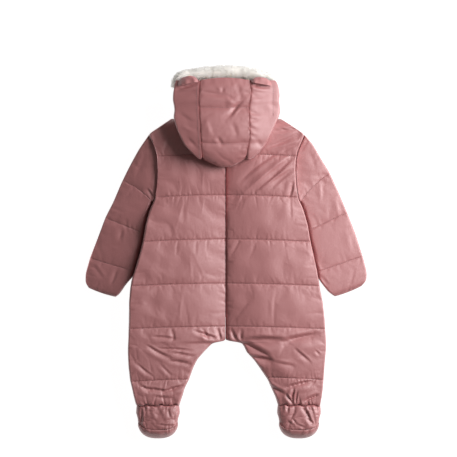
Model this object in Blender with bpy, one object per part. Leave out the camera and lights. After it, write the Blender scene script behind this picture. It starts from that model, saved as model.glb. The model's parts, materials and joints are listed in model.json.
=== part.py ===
"""Baby snowsuit, size 68, laid flat on its front and seen from behind.

X runs to the wearer's right, Y to the head and Z up from the surface that it lies on. The origin is
the middle of the garment's outline on that surface. The wadded cloth lies in two layers, fronts
under backs, with the hood folded down over the back.
"""
import math
from collections import namedtuple

import bmesh
import bpy
import numpy as np
from mathutils import Vector

MM = 0.001

# Heights of the layers above the surface, mm
BODY_MID = 18.0          # the fronts end and the backs begin
SLEEVE_MID = 10.0        # under sleeve and top sleeve meet
FOOT_MID = 14.0
HOOD_REST = 43.2         # the folded hood lies on the backs at this height
COLLAR_HEIGHT = 12.15    # top of the collar, where the hood's sides stand on it

# Wadding, mm
SEAM_GAP = 0.3
EDGE = 3.0               # thickness of a wall at its sewn edge
BACK_LOFT = 24.5         # back wall in the middle of a quilted channel
BACK_LINE = 17.0         # and at a quilting line
TOP_SLEEVE_LOFT = 18.0
TOP_SLEEVE_LINE = 11.5
LEG_TAPER = 0.88         # how much of the loft is left at the ankle
LEG_TOP_Y = -150.0       # the leg's taper starts here
LINE_DROP = 4.5          # how far a quilting line falls towards the side
TOP_ROUND = 14.0         # width over which the backs round down to the neck
ANKLE_ROUND = 9.0        # and to the ankle, where this share of the loft stays
ANKLE_SHARE = 0.35
HOOD_WALL = 8.5
SIDE_ROUND = 24.0        # width over which an edge rounds down
SEAM_ROUND = 80.0        # each half of the back is a dome: it falls to the centre seam
SEAM_DEPTH = 0.45        # over this width, by this share of the loft
SIDE_FALL_WIDTH = 85.0   # and more gently towards its side
SIDE_FALL = 0.16
UNDER_ROUND = 14.0       # the fronts round up to their side seams over this width
SIDE_SETBACK = 12.0      # the side seam lies this far under the backs, beside the sleeve

CENTRE = -1.0            # x of the centre back seam
NECK_Y = 240.0           # top edge of the backs, under the hood
CROTCH_Y = -158.5
INSEAM_Y = -185.0        # the inner edge is rounded like an outer edge from here down
ANKLE_Y = -275.5
# Front zip, hidden underneath, in a groove between the fronts
ZIP_TOP = 288.0
ZIP_END = -118.0
ZIP_WIDTH = 8.0
ZIP_LOW, ZIP_HIGH = 0.6, 3.3
GROOVE_HALF = 4.9
GROOVE_TOP = 3.8
# The zip's slider and tab, mm: half its width, and how far beyond the zip's top
TabPoint = namedtuple("TabPoint", "half_width beyond")
TAB = [
    TabPoint(4.4, 0.4),
    TabPoint(4.4, 6.0),
    TabPoint(3.2, 11.0),
    TabPoint(2.6, 13.0),
    TabPoint(2.6, 30.0),
    TabPoint(1.6, 32.0),
]

# Outline of body and legs, mm: outer edge and inner edge (centre seam, then inseam) of each half
BodyRow = namedtuple("BodyRow", "y left_outer left_inner right_inner right_outer")
BODY = [
    BodyRow(240.0, -98.5, -1.0, -1.0, 98.5),
    BodyRow(211.5, -141.0, -1.0, -1.0, 142.0),
    BodyRow(204.0, -136.0, -1.0, -1.0, 138.4),
    BodyRow(196.0, -131.4, -1.0, -1.0, 135.0),
    BodyRow(187.0, -127.4, -1.0, -1.0, 131.0),
    BodyRow(178.0, -124.8, -1.0, -1.0, 127.8),
    BodyRow(166.0, -123.1, -1.0, -1.0, 125.6),
    BodyRow(150.0, -122.5, -1.0, -1.0, 124.8),
    BodyRow(131.0, -122.8, -1.0, -1.0, 125.6),
    BodyRow(111.0, -124.8, -1.0, -1.0, 127.4),
    BodyRow(96.0, -128.0, -1.0, -1.0, 130.0),
    BodyRow(84.0, -133.5, -1.0, -1.0, 136.0),
    BodyRow(72.0, -138.5, -1.0, -1.0, 140.5),
    BodyRow(48.0, -144.8, -1.0, -1.0, 147.2),
    BodyRow(18.0, -150.0, -1.0, -1.0, 152.5),
    BodyRow(-10.0, -157.5, -1.0, -1.0, 158.8),
    BodyRow(-32.0, -164.0, -1.0, -1.0, 163.5),
    BodyRow(-50.0, -170.0, -1.0, -1.0, 166.8),
    BodyRow(-68.0, -172.8, -1.0, -1.0, 169.0),
    BodyRow(-90.0, -174.6, -1.0, -1.0, 174.0),
    BodyRow(-122.0, -175.0, -1.0, -1.0, 177.5),
    BodyRow(-158.5, -176.0, -1.0, -1.0, 180.0),
    BodyRow(-162.0, -176.2, -12.0, 12.0, 180.0),
    BodyRow(-165.5, -176.3, -25.0, 28.0, 180.0),
    BodyRow(-172.5, -176.5, -32.5, 32.5, 179.8),
    BodyRow(-180.0, -176.5, -39.5, 36.5, 179.5),
    BodyRow(-194.0, -176.0, -51.5, 50.0, 178.2),
    BodyRow(-208.0, -175.3, -58.5, 60.0, 177.0),
    BodyRow(-230.0, -173.0, -66.5, 75.0, 175.5),
    BodyRow(-245.0, -169.5, -74.0, 81.5, 174.2),
    BodyRow(-259.0, -166.5, -78.0, 88.0, 172.5),
    BodyRow(-275.5, -162.0, -84.0, 93.5, 169.5),
]

# Quilting lines across the backs, mm, neck to ankle
QuiltLine = namedtuple("QuiltLine", "name left_y right_y")
BACK_LINES = [
    QuiltLine("neck", NECK_Y, NECK_Y),
    QuiltLine("yoke", 176.4, 176.4),
    QuiltLine("chest", 102.6, 102.6),
    QuiltLine("waist", 23.0, 23.0),
    QuiltLine("hip", -56.5, -56.5),
    QuiltLine("seat", -133.7, -133.7),
    QuiltLine("knee", -229.0, -225.5),
    QuiltLine("ankle", ANKLE_Y, ANKLE_Y),
]
# Where the sections of the backs lie: shares of each channel, then of the way from side to centre
CHANNEL_ROWS = (0.0, 0.06, 0.17, 0.33, 0.5, 0.67, 0.83, 0.94)
BACK_COLUMNS = (0.0, 0.014, 0.05, 0.11, 0.2, 0.34, 0.52, 0.7, 0.85, 0.94, 1.0)
CROTCH_ROWS = (CROTCH_Y, -162.0, -165.5, -172.5)
ROWS_APART = 3.0         # a channel's row closer than this to a crotch row is left out

# Sections of the fronts: heights y above and below the crotch, shares from the side to the zip's
# facing, and steps from that facing to the centre
COLLAR_ROWS = (330.5, 328.5, 325.0, 319.0, 311.0, 303.0, 295.0, 284.0, 265.0, 250.0, 240.5)
CHEST_ROWS = (226.0, 211.5, 204.0, 196.0, 187.0, 178.0, 166.0, 150.0, 131.0, 111.0, 96.0, 84.0)
BELLY_ROWS = (60.0, 30.0, 0.0, -40.0, -52.0, -75.0, -100.0, ZIP_END - 3.0, ZIP_END - 9.0)
LEG_ROWS = (-184.0, -205.0, -235.0, -260.0, ANKLE_Y)
FRONT_COLUMNS = (0.0, 0.04, 0.12, 0.3, 0.65, 1.0)
FACING = 18.0
FACING_COLUMNS = (8.0, GROOVE_HALF + 0.8, GROOVE_HALF, 0.0)
COLLAR_STEP = 9.0        # the fronts step down to the collar within this much of the neck

# Sleeves, mm: a row runs from the outer fold to the underarm seam and bows towards the cuff. The
# column named line counts the quilting lines from the armhole, 0, to the cuff's edge, 4
SleeveRow = namedtuple("SleeveRow", "line outer_x outer_y inner_x inner_y bow")
LEFT_SLEEVE = [
    SleeveRow(0.0, -141.0, 211.5, -128.6, 96.0, 0.0),
    SleeveRow(0.3, -157.0, 187.0, -129.4, 94.0, -8.0),
    SleeveRow(0.7, -172.0, 158.0, -129.8, 91.5, -6.0),
    SleeveRow(1.0, -187.2, 128.0, -130.2, 88.5, -4.0),
    SleeveRow(1.5, -203.4, 90.0, -131.4, 65.0, -1.0),
    SleeveRow(2.0, -217.8, 61.7, -138.6, 29.5, 0.0),
    SleeveRow(2.5, -231.3, 25.2, -145.4, -3.0, 0.0),
    SleeveRow(3.0, -245.6, -11.7, -160.5, -36.5, 0.0),
    SleeveRow(3.45, -253.3, -39.6, -179.5, -57.5, 1.0),
    SleeveRow(3.8, -253.4, -55.8, -192.5, -76.5, 2.0),
    SleeveRow(4.0, -247.5, -64.8, -199.0, -81.0, 1.5),
]
RIGHT_SLEEVE = [
    SleeveRow(0.0, 142.0, 211.5, 130.6, 97.0, 0.0),
    SleeveRow(0.3, 156.6, 194.4, 131.6, 94.6, -8.0),
    SleeveRow(0.7, 172.8, 165.6, 132.2, 92.0, -6.0),
    SleeveRow(1.0, 187.2, 142.2, 132.8, 89.0, -4.0),
    SleeveRow(1.5, 203.4, 106.2, 133.8, 67.0, -1.0),
    SleeveRow(2.0, 218.3, 71.3, 139.5, 35.0, 0.0),
    SleeveRow(2.5, 232.2, 36.0, 147.5, 1.6, 0.0),
    SleeveRow(3.0, 246.6, -8.1, 160.0, -38.0, 0.0),
    SleeveRow(3.45, 253.8, -36.0, 172.5, -56.6, 1.0),
    SleeveRow(3.8, 253.4, -51.3, 185.4, -72.9, 2.0),
    SleeveRow(4.0, 244.8, -61.2, 196.2, -80.1, 1.5),
]
SLEEVE_LINES = 4
SLEEVE_CHANNEL_ROWS = (0.0, 0.07, 0.2, 0.4, 0.6, 0.8, 0.93)
SLEEVE_COLUMNS = (0.0, 0.03, 0.1, 0.22, 0.38, 0.54, 0.7, 0.84, 0.94, 1.0)
UNDER_SLEEVE_ROWS = (0.0, 0.12, 0.3, 0.7, 1.0, 1.5, 2.0, 2.5, 3.0, 3.45, 3.8, 4.0)
UNDER_SLEEVE_COLUMNS = (0.0, 0.05, 0.14, 0.4, 0.7, 0.92, 1.0)
UNDER_SLEEVE_ROUND = 9.0
CUFF_SHARE = 0.45        # loft left at the cuff's edge
ARMHOLE_GAP = 0.6
ARMHOLE_REACH = 0.9      # the armhole's curve fades out over this much of the first channel
UNDERARM_ROUND = 42.0    # width over which the top sleeve falls to its underarm seam
SLEEVE_ROUND = 13.0      # and to its outer fold
SLEEVE_FALL = 0.42       # share of its loft lost from its crest to that fold
SLEEVE_CREST = 0.62      # where the crest lies, as a share of its width

# Hood, mm: outline of the folded hood and the seams of its centre strip
HoodRow = namedtuple("HoodRow", "y left_edge left_seam right_seam right_edge near_z rest_z")
HOOD = [
    HoodRow(307.5, -92.0, -47.5, 43.0, 91.0, 66.0, COLLAR_HEIGHT),
    HoodRow(299.0, -94.0, -48.0, 43.5, 95.5, 68.5, COLLAR_HEIGHT),
    HoodRow(287.0, -95.5, -49.0, 45.0, 96.5, 71.0, COLLAR_HEIGHT),
    HoodRow(272.0, -95.5, -49.5, 42.5, 95.0, 73.0, COLLAR_HEIGHT),
    HoodRow(258.0, -92.5, -49.0, 40.5, 97.0, 73.5, COLLAR_HEIGHT),
    HoodRow(250.0, -93.0, -48.5, 40.5, 97.0, 74.5, COLLAR_HEIGHT),
    HoodRow(242.5, -94.5, -47.8, 41.0, 95.0, 75.0, HOOD_REST),
    HoodRow(228.5, -90.5, -46.8, 41.5, 88.5, 76.0, HOOD_REST),
    HoodRow(215.0, -86.0, -46.2, 42.0, 82.5, 76.5, HOOD_REST),
    HoodRow(204.0, -81.0, -45.4, 42.0, 77.0, 76.5, HOOD_REST),
    HoodRow(193.0, -75.0, -44.8, 40.5, 71.0, 75.5, HOOD_REST),
    HoodRow(182.0, -65.5, -44.4, 38.5, 62.5, 73.5, HOOD_REST),
    HoodRow(174.0, -57.5, -44.2, 37.8, 55.0, 70.0, HOOD_REST),
    HoodRow(168.0, -50.5, -44.0, 37.5, 46.0, 66.0, HOOD_REST),
]
HOOD_SEAM_GAP = 0.5
HOOD_ROUND = 15.0        # how far the folded edge of a hood side is rounded
HOOD_SLOPE = 0.30        # how steeply a side falls from its seam to that edge
SEAM_DIP = 3.0           # the outside dips this much to a hood seam, over this width
SEAM_DIP_ROUND = 8.0
STAND_WIDTH = 6.0        # how far a side runs in over the collar on which it stands
MOUTH_SETBACK = 17.0     # the hood's sides run back from the face edge, beside the fleece roll
MOUTH_Y = 272.0          # and start to do so here
SIDE_COLUMNS = (0.0, 0.12, 0.35, 0.7)
SIDE_TURNS = (90.0, 62.0, 32.0, 0.0, -32.0, -62.0, -90.0)
RETURN_COLUMNS = (0.5, 1.0)
# Centre strip from the face edge over the crown to the nape: height of its outer side and its bow
StripRow = namedtuple("StripRow", "y z bow")
STRIP = [
    StripRow(312.0, 67.0, -4.5),
    StripRow(304.0, 70.0, -3.5),
    StripRow(293.0, 73.0, -2.0),
    StripRow(283.5, 72.0, 0.0),
    StripRow(271.0, 76.0, 0.0),
    StripRow(262.0, 75.0, 0.0),
    StripRow(258.3, 72.5, 0.0),
    StripRow(254.0, 75.5, 0.0),
    StripRow(242.0, 78.0, 0.0),
    StripRow(226.0, 79.5, 0.0),
    StripRow(210.0, 80.0, 0.5),
    StripRow(199.0, 79.0, 1.0),
    StripRow(194.0, 76.0, 1.5),
    StripRow(189.0, 78.0, 2.5),
    StripRow(176.0, 76.0, 6.0),
    StripRow(164.0, 71.0, 9.0),
    StripRow(155.0, 64.0, 12.0),
    StripRow(151.0, 56.5, 13.0),
    StripRow(153.5, 48.0, 12.0),
    StripRow(162.0, HOOD_REST, 9.0),
    StripRow(200.0, HOOD_REST, 0.0),
    StripRow(237.0, HOOD_REST, 0.0),
]
STRIP_COLUMNS = (0.0, 0.06, 0.2, 0.4, 0.6, 0.8, 0.94, 1.0)

# Fleece roll of the hood's mouth, mm: its outer line seen from above, its width and its height
RollRow = namedtuple("RollRow", "x y width height")
ROLL = [
    RollRow(-98.5, 297.0, 13.0, 24.0),
    RollRow(-97.8, 306.0, 16.0, 37.0),
    RollRow(-94.5, 316.0, 21.0, 40.0),
    RollRow(-87.0, 324.5, 27.0, 39.0),
    RollRow(-72.0, 329.0, 33.0, 36.0),
    RollRow(-52.0, 331.5, 36.0, 36.0),
    RollRow(-26.0, 334.8, 38.0, 36.0),
    RollRow(0.0, 336.5, 38.0, 36.0),
    RollRow(26.0, 335.5, 38.0, 36.0),
    RollRow(50.0, 332.0, 36.0, 36.0),
    RollRow(71.0, 326.5, 33.0, 36.0),
    RollRow(86.0, 319.0, 27.0, 39.0),
    RollRow(95.5, 309.0, 20.0, 38.0),
    RollRow(99.5, 297.0, 13.0, 24.0),
]
# Section of the roll: share of the width from its outer line, and share of the height
RollPoint = namedtuple("RollPoint", "across up")
ROLL_SECTION = [
    RollPoint(0.03, 0.10),
    RollPoint(0.0, 0.30),
    RollPoint(0.04, 0.58),
    RollPoint(0.14, 0.84),
    RollPoint(0.30, 0.98),
    RollPoint(0.48, 0.92),
    RollPoint(0.68, 0.66),
    RollPoint(0.86, 0.38),
    RollPoint(1.0, 0.14),
]
COLLAR_SETBACK = 5.0     # the collar ends this far inside the roll's outer line
ROLL_STEPS = 2           # sections of the roll for each row of its table

# Ears, mm: middle of the sewn edge, half width, height, and turn of that edge in degrees
Ear = namedtuple("Ear", "name x y half_width height turn")
EARS = [
    Ear("ear_left", -67.5, 301.0, 18.5, 13.5, 12.0),
    Ear("ear_right", 63.0, 300.5, 18.5, 12.0, -10.0),
]
EAR_WALL = 3.5
EAR_ARCH = 5.0           # the ear stands this far off the hood in its middle
EAR_REST = 0.6           # and lies this far off it at its sewn edge
EAR_ROWS = (0.0, 0.2, 0.45, 0.7, 0.88, 1.0)
EAR_COLUMNS = (-1.0, -0.85, -0.55, -0.2, 0.2, 0.55, 0.85, 1.0)

# Feet, mm: middle of each bootie; below FOOT_ROUND_Y its outline is a rounded arch
FOOT_MIDDLE = {"left": -122.6, "right": 131.6}
FOOT_TOP_Y = -275.9
FOOT_HALF = [(-276.0, 38.4), (-289.0, 39.6), (-302.0, 37.6)]
FOOT_ROUND_Y = -302.0
ARCH_POWER = 0.8
SOLE_HALF, SOLE_DEPTH = 37.0, 34.6       # outline of the foot's end
SOLE_SEAM_HALF, SOLE_SEAM_DEPTH = 36.2, 17.0   # seam that parts the upper from the sole
SOLE_SPAN = 78.0         # degrees of the arch, either way, that the sole runs along
FOOT_LOFT = 25.0
FOOT_ROWS = (0.0, 0.06, 0.16, 0.32, 0.52, 0.72, 0.88, 1.0)
FOOT_ROUND = 17.0
INSTEP_ROWS = (0.0, 0.3, 0.65, 1.0)
INSTEP_COLUMNS = 10
SOLE_ROWS = (0.0, 0.18, 0.4, 0.62, 0.82, 0.95, 1.0)
SOLE_COLUMNS = 16
SOLE_SEAM_HEIGHT = 14.0  # the sole's seam lies this far over FOOT_MID at the toe
SOLE_EDGE_HEIGHT = 9.0   # height of the sole's outline above the surface
SOLE_LIFT = 5.0          # how far the sole rounds up from the surface at its outline
SOLE_GAP = 0.5
GATHERS = 7              # elastic gathers across an ankle
GATHER_DEPTH = 1.6
GATHER_REACH = 12.0      # how far from the elastic they run out

# The largest folds of the backs and sleeves, mm: a trough (depth below 0) or ridge along a line
Fold = namedtuple("Fold", "x0 y0 x1 y1 width depth")
FOLDS = [
    Fold(119.0, 124.0, 119.0, 66.0, 9.0, -3.0),
    Fold(108.0, 165.0, 62.0, 118.0, 11.0, -2.5),
    Fold(120.0, 196.0, 84.0, 150.0, 11.0, 2.0),
    Fold(-102.0, 150.0, -74.0, 116.0, 12.0, -2.0),
    Fold(-64.0, 90.0, -50.0, 40.0, 12.0, -2.0),
    Fold(92.0, 88.0, 60.0, 40.0, 12.0, -2.0),
    Fold(-113.0, -167.0, -56.0, -190.0, 11.0, -3.0),
    Fold(40.0, -162.0, 120.0, -158.0, 10.0, -3.0),
    Fold(-148.0, -243.0, -82.0, -241.0, 7.0, -2.5),
    Fold(108.0, -240.0, 160.0, -233.0, 7.0, -2.5),
]

COLOURS = {
    "shell": (0.42, 0.20, 0.20, 1.0),
    "fleece": (0.84, 0.80, 0.74, 1.0),
    "zip": (0.36, 0.18, 0.18, 1.0),
}
ROUGHNESS = {"shell": 0.55, "fleece": 0.95, "zip": 0.45}


def clear_scene():
    for item in list(bpy.data.objects):
        bpy.data.objects.remove(item, do_unlink=True)


def make_material(node_name, kind):
    material = bpy.data.materials.new(node_name + "_" + kind)
    material.use_nodes = True
    shader = material.node_tree.nodes["Principled BSDF"]
    shader.inputs["Base Color"].default_value = COLOURS[kind]
    shader.inputs["Roughness"].default_value = ROUGHNESS[kind]
    shader.inputs["Metallic"].default_value = 0.0
    return material


def solid_between(name, outer, inner, kind):
    """One closed wall between two grids of points, rows by columns, given in mm."""
    rows = len(outer)
    columns = len(outer[0])
    shape = bmesh.new()
    skins = []
    for grid in (outer, inner):
        skins.append([[shape.verts.new(Vector(p) * MM) for p in row] for row in grid])
    near, far = skins
    for r in range(rows - 1):
        for c in range(columns - 1):
            shape.faces.new((near[r][c], near[r][c + 1], near[r + 1][c + 1], near[r + 1][c]))
            shape.faces.new((far[r][c], far[r + 1][c], far[r + 1][c + 1], far[r][c + 1]))
    for r in range(rows - 1):
        for c in (0, columns - 1):
            shape.faces.new((near[r][c], near[r + 1][c], far[r + 1][c], far[r][c]))
    for c in range(columns - 1):
        for r in (0, rows - 1):
            shape.faces.new((near[r][c], near[r][c + 1], far[r][c + 1], far[r][c]))
    bmesh.ops.recalc_face_normals(shape, faces=shape.faces)
    mesh = bpy.data.meshes.new(name)
    shape.to_mesh(mesh)
    shape.free()
    mesh.shade_smooth()
    mesh.set_sharp_from_angle(angle=math.radians(45.0))
    mesh.materials.append(make_material(name, kind))
    item = bpy.data.objects.new(name, mesh)
    PARTS.objects.link(item)
    return item


def column(table, name):
    """One named column against y, as two lists with y rising."""
    pairs = sorted((row.y, getattr(row, name)) for row in table)
    return [p[0] for p in pairs], [p[1] for p in pairs]


def edge_at(table, name, y):
    heights, values = column(table, name)
    return float(np.interp(y, heights, values))


def rounded(distance, radius):
    """0 at an edge, rising like a quarter circle to 1 a radius inside it."""
    share = min(max(distance / radius, 0.0), 1.0)
    return math.sqrt(1.0 - (1.0 - share) ** 2)


def eased(distance, reach):
    """0 at an edge, rising more gently than rounded to 1."""
    return math.sin(math.pi / 2 * min(max(distance / reach, 0.0), 1.0))


def puff(share):
    """Loft across a quilted channel: 0 at both lines, 1 in the middle."""
    return (4.0 * share * (1.0 - share)) ** 0.55


def fold_height(x, y):
    """Sum of the large folds at a point, each faded out at its ends."""
    total = 0.0
    for fold in FOLDS:
        run = Vector((fold.x1 - fold.x0, fold.y1 - fold.y0))
        offset = Vector((x - fold.x0, y - fold.y0))
        along = offset.dot(run) / run.length_squared
        if 0.0 < along < 1.0:
            aside = (offset - run * along).length / fold.width
            total += fold.depth * math.sin(math.pi * along) * math.exp(-aside * aside)
    return total


def quilt_rows(side):
    """Heights y of the sections of one half, each with its channel and its share of it."""
    lines = [getattr(line, side + "_y") for line in BACK_LINES]
    found = []
    for number in range(len(lines) - 1):
        top, bottom = lines[number], lines[number + 1]
        for share in CHANNEL_ROWS:
            found.append(top + (bottom - top) * share)
    found.append(lines[-1])
    found = [y for y in found if all(abs(y - extra) > ROWS_APART for extra in CROTCH_ROWS)]
    found += CROTCH_ROWS
    return sorted(found, reverse=True)


def back_loft(side, y):
    """Loft of the back wall at a height y, before its edges are rounded."""
    lines = [getattr(line, side + "_y") for line in BACK_LINES]
    taper = float(np.interp(y, [ANKLE_Y, LEG_TOP_Y], [LEG_TAPER, 1.0]))
    for top, bottom in zip(lines, lines[1:]):
        if bottom <= y <= top:
            share = (top - y) / (top - bottom)
            return taper * (BACK_LINE + (BACK_LOFT - BACK_LINE) * puff(share))
    return taper * BACK_LINE


def build_back(side):
    """Back of body and leg, one half: quilted outside over a plain inside."""
    sign = -1.0 if side == "left" else 1.0
    base = BODY_MID + SEAM_GAP / 2
    outer, inner = [], []
    for row_y in quilt_rows(side):
        top_row, low_row = [], []
        ankle = ANKLE_SHARE + (1.0 - ANKLE_SHARE) * rounded(row_y - ANKLE_Y, ANKLE_ROUND)
        ends = min(rounded(NECK_Y - row_y, TOP_ROUND), ankle)
        loft = back_loft(side, row_y) - EDGE
        for share in BACK_COLUMNS:
            drop = LINE_DROP * (1.0 - share) ** 2 * float(ANKLE_Y < row_y < NECK_Y)
            y = max(row_y - drop, ANKLE_Y + 0.5 * float(row_y > ANKLE_Y))
            x_out = edge_at(BODY, side + "_outer", y)
            x_in = edge_at(BODY, side + "_inner", y) + sign * SEAM_GAP / 2
            x = x_out + (x_in - x_out) * share
            seam = 1.0 - SEAM_DEPTH * (1.0 - eased(abs(x - x_in), SEAM_ROUND))
            flank = 1.0 - SIDE_FALL * (1.0 - eased(abs(x - x_out), SIDE_FALL_WIDTH))
            inseam = rounded(abs(x - x_in), SIDE_ROUND)
            on_leg = float(np.interp(y, [INSEAM_Y, CROTCH_Y], [1.0, 0.0]))
            inside = seam * (1.0 - on_leg) + inseam * on_leg
            across = rounded(abs(x - x_out), SIDE_ROUND) * flank * inside * ends
            height = EDGE + (loft + fold_height(x, y)) * across
            top_row.append((x, y, base + height))
            low_row.append((x, y, base))
        outer.append(top_row)
        inner.append(low_row)
    return solid_between("back_" + side, outer, inner, "shell")


def roll_line(side_x, offset):
    """Outer line of the fleece roll moved inwards by an offset, on the side where side_x lies."""
    found = []
    for number, row in enumerate(ROLL):
        before = ROLL[max(number - 1, 0)]
        after = ROLL[min(number + 1, len(ROLL) - 1)]
        along = Vector((after.x - before.x, after.y - before.y)).normalized()
        inwards = Vector((along.y, -along.x))
        point = Vector((row.x, row.y)) + inwards * offset
        if point.x * side_x >= 0.0:
            found.append((point.y, abs(point.x)))
    return sorted(found)


def front_outer(side, y):
    """Outer edge of a front: the collar, the shoulder, then under the edge of the back."""
    sign = -1.0 if side == "left" else 1.0
    if y > NECK_Y:
        line = roll_line(sign, COLLAR_SETBACK)
        limit = float(np.interp(y, [p[0] for p in line], [p[1] for p in line]))
        hood = abs(edge_at(HOOD, side + "_edge", y)) - 1.0
        return sign * (limit if y > 307.5 else min(limit, hood))
    setback = np.interp(y, [-52.0, -40.0, 84.0, 96.0], [0.0, SIDE_SETBACK, SIDE_SETBACK, 0.0])
    return edge_at(BODY, side + "_outer", y) - sign * float(setback)


def build_front(side):
    """Front of body and leg with its grown-on collar: flat below, where it rests."""
    sign = -1.0 if side == "left" else 1.0
    outer, inner = [], []
    for y in COLLAR_ROWS + CHEST_ROWS + BELLY_ROWS + CROTCH_ROWS + LEG_ROWS:
        top_row, low_row = [], []
        x_out = front_outer(side, y)
        x_in = edge_at(BODY, side + "_inner", min(y, NECK_Y)) + sign * SEAM_GAP / 2
        x_near = x_in + sign * FACING
        xs = [x_out + (x_near - x_out) * share for share in FRONT_COLUMNS]
        xs += [x_in + sign * step for step in FACING_COLUMNS]
        seam = float(np.interp(y, [NECK_Y, NECK_Y + COLLAR_STEP], [BODY_MID, COLLAR_HEIGHT]))
        top = seam - SEAM_GAP / 2
        for x in xs:
            lift = (top - EDGE) * (1.0 - rounded(abs(x - x_out), UNDER_ROUND))
            if y < CROTCH_Y:
                lift = max(lift, (top - EDGE) * (1.0 - rounded(abs(x - x_in), UNDER_ROUND)))
            elif y > ZIP_END - 4.0 and abs(x - x_in) < GROOVE_HALF + 0.1:
                lift = GROOVE_TOP
            top_row.append((x, y, top))
            low_row.append((x, y, lift))
        outer.append(top_row)
        inner.append(low_row)
    return solid_between("front_" + side, outer, inner, "shell")


def sleeve_section(side, line, shares):
    """Points across a sleeve at one count of its quilting lines, with their edge distances."""
    sign = -1.0 if side == "left" else 1.0
    table = LEFT_SLEEVE if side == "left" else RIGHT_SLEEVE
    counts = [row.line for row in table]
    values = [float(np.interp(line, counts, [row[i] for row in table])) for i in range(1, 6)]
    fold = Vector(values[0:2])
    across = Vector(values[2:4]) - fold
    to_cuff = Vector((across.y, -across.x)).normalized() * -sign
    seam_fold = Vector(table[0][1:3])
    seam_across = Vector(table[0][3:5]) - seam_fold
    along_seam = max(1.0 - line / ARMHOLE_REACH, 0.0) ** 1.5
    found = []
    for share in shares:
        point = fold + across * share + to_cuff * values[4] * 4.0 * share * (1.0 - share)
        at_seam = seam_fold + seam_across * share
        seam_x = edge_at(BODY, side + "_outer", at_seam.y) + sign * ARMHOLE_GAP
        point.x += (seam_x - at_seam.x) * along_seam
        found.append((point.x, point.y, across.length * share, across.length * (1.0 - share)))
    return found


def build_top_sleeve(side):
    """The half of the sleeve that shows, quilted, from the armhole to the cuff."""
    base = SLEEVE_MID + SEAM_GAP / 2
    outer, inner = [], []
    counts = [n + share for n in range(SLEEVE_LINES) for share in SLEEVE_CHANNEL_ROWS]
    for line in counts + [float(SLEEVE_LINES)]:
        loft = TOP_SLEEVE_LINE + (TOP_SLEEVE_LOFT - TOP_SLEEVE_LINE) * puff(line % 1.0)
        cuff = CUFF_SHARE + (1.0 - CUFF_SHARE) * rounded(SLEEVE_LINES - line, 0.25)
        top_row, low_row = [], []
        for x, y, from_fold, from_seam in sleeve_section(side, line, SLEEVE_COLUMNS):
            crest = SLEEVE_CREST * (from_fold + from_seam)
            fall = 1.0 - SLEEVE_FALL * (1.0 - min(from_fold / crest, 1.0))
            across = rounded(from_fold, SLEEVE_ROUND) * fall * eased(from_seam, UNDERARM_ROUND)
            across *= cuff
            height = EDGE - 0.5 + (loft - EDGE) * across
            top_row.append((x, y, base + height))
            low_row.append((x, y, base))
        outer.append(top_row)
        inner.append(low_row)
    return solid_between("sleeve_top_" + side, outer, inner, "shell")


def build_under_sleeve(side):
    """The half of the sleeve that it lies on, flat below."""
    top = SLEEVE_MID - SEAM_GAP / 2
    outer, inner = [], []
    for line in UNDER_SLEEVE_ROWS:
        top_row, low_row = [], []
        for x, y, from_fold, from_seam in sleeve_section(side, line, UNDER_SLEEVE_COLUMNS):
            inside = rounded(min(from_fold, from_seam), UNDER_SLEEVE_ROUND)
            top_row.append((x, y, top))
            low_row.append((x, y, (top - EDGE) * (1.0 - inside)))
        outer.append(top_row)
        inner.append(low_row)
    return solid_between("sleeve_under_" + side, outer, inner, "shell")


def hood_section(side, row):
    """Outer and inner line of one hood side: near wall, folded edge and the return under it."""
    sign = -1.0 if side == "left" else 1.0
    seam_x = getattr(row, side + "_seam") + sign * HOOD_SEAM_GAP / 2
    edge_x = getattr(row, side + "_edge")
    width = abs(edge_x - seam_x)
    radius = min(HOOD_ROUND, 0.8 * width)
    wall = min(HOOD_WALL, 0.55 * radius)
    rest = row.rest_z
    round_x = edge_x - sign * radius
    fold_z = row.near_z - HOOD_SLOPE * abs(round_x - seam_x)
    middle = (fold_z + rest) / 2
    rise = (fold_z - rest) / 2
    on_back = rest > COLLAR_HEIGHT + 1.0
    return_x = seam_x if on_back else round_x - sign * STAND_WIDTH
    outer, inner = [], []
    for share in SIDE_COLUMNS:
        x = seam_x + (round_x - seam_x) * share
        dip = SEAM_DIP * (1.0 - rounded(abs(x - seam_x), SEAM_DIP_ROUND))
        z = row.near_z - HOOD_SLOPE * abs(x - seam_x)
        outer.append((x, z - dip))
        inner.append((x, z - wall))
    for degrees in SIDE_TURNS:
        angle = math.radians(degrees)
        reach, lift = sign * math.cos(angle), math.sin(angle)
        outer.append((round_x + radius * reach, middle + rise * lift))
        inner.append((round_x + (radius - wall) * reach, middle + (rise - wall) * lift))
    for share in RETURN_COLUMNS:
        x = round_x + (return_x - round_x) * share
        outer.append((x, rest))
        inner.append((x, rest + wall))
    return outer, inner


def build_hood_side(side):
    """Side of the folded hood, from its seam round the fold to the nape or the collar."""
    outer, inner = [], []
    for row in HOOD:
        lines = hood_section(side, row)
        back = MOUTH_SETBACK * float(np.interp(row.y, [MOUTH_Y, HOOD[0].y], [0.0, 1.0]))
        for grid, line in zip((outer, inner), lines):
            points = []
            for number, (x, z) in enumerate(line):
                share = min(max((number - len(SIDE_COLUMNS)) / 3.0, 0.0), 1.0)
                points.append((x, row.y - back * share, z))
            grid.append(points)
    return solid_between("hood_side_" + side, outer, inner, "shell")


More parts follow.
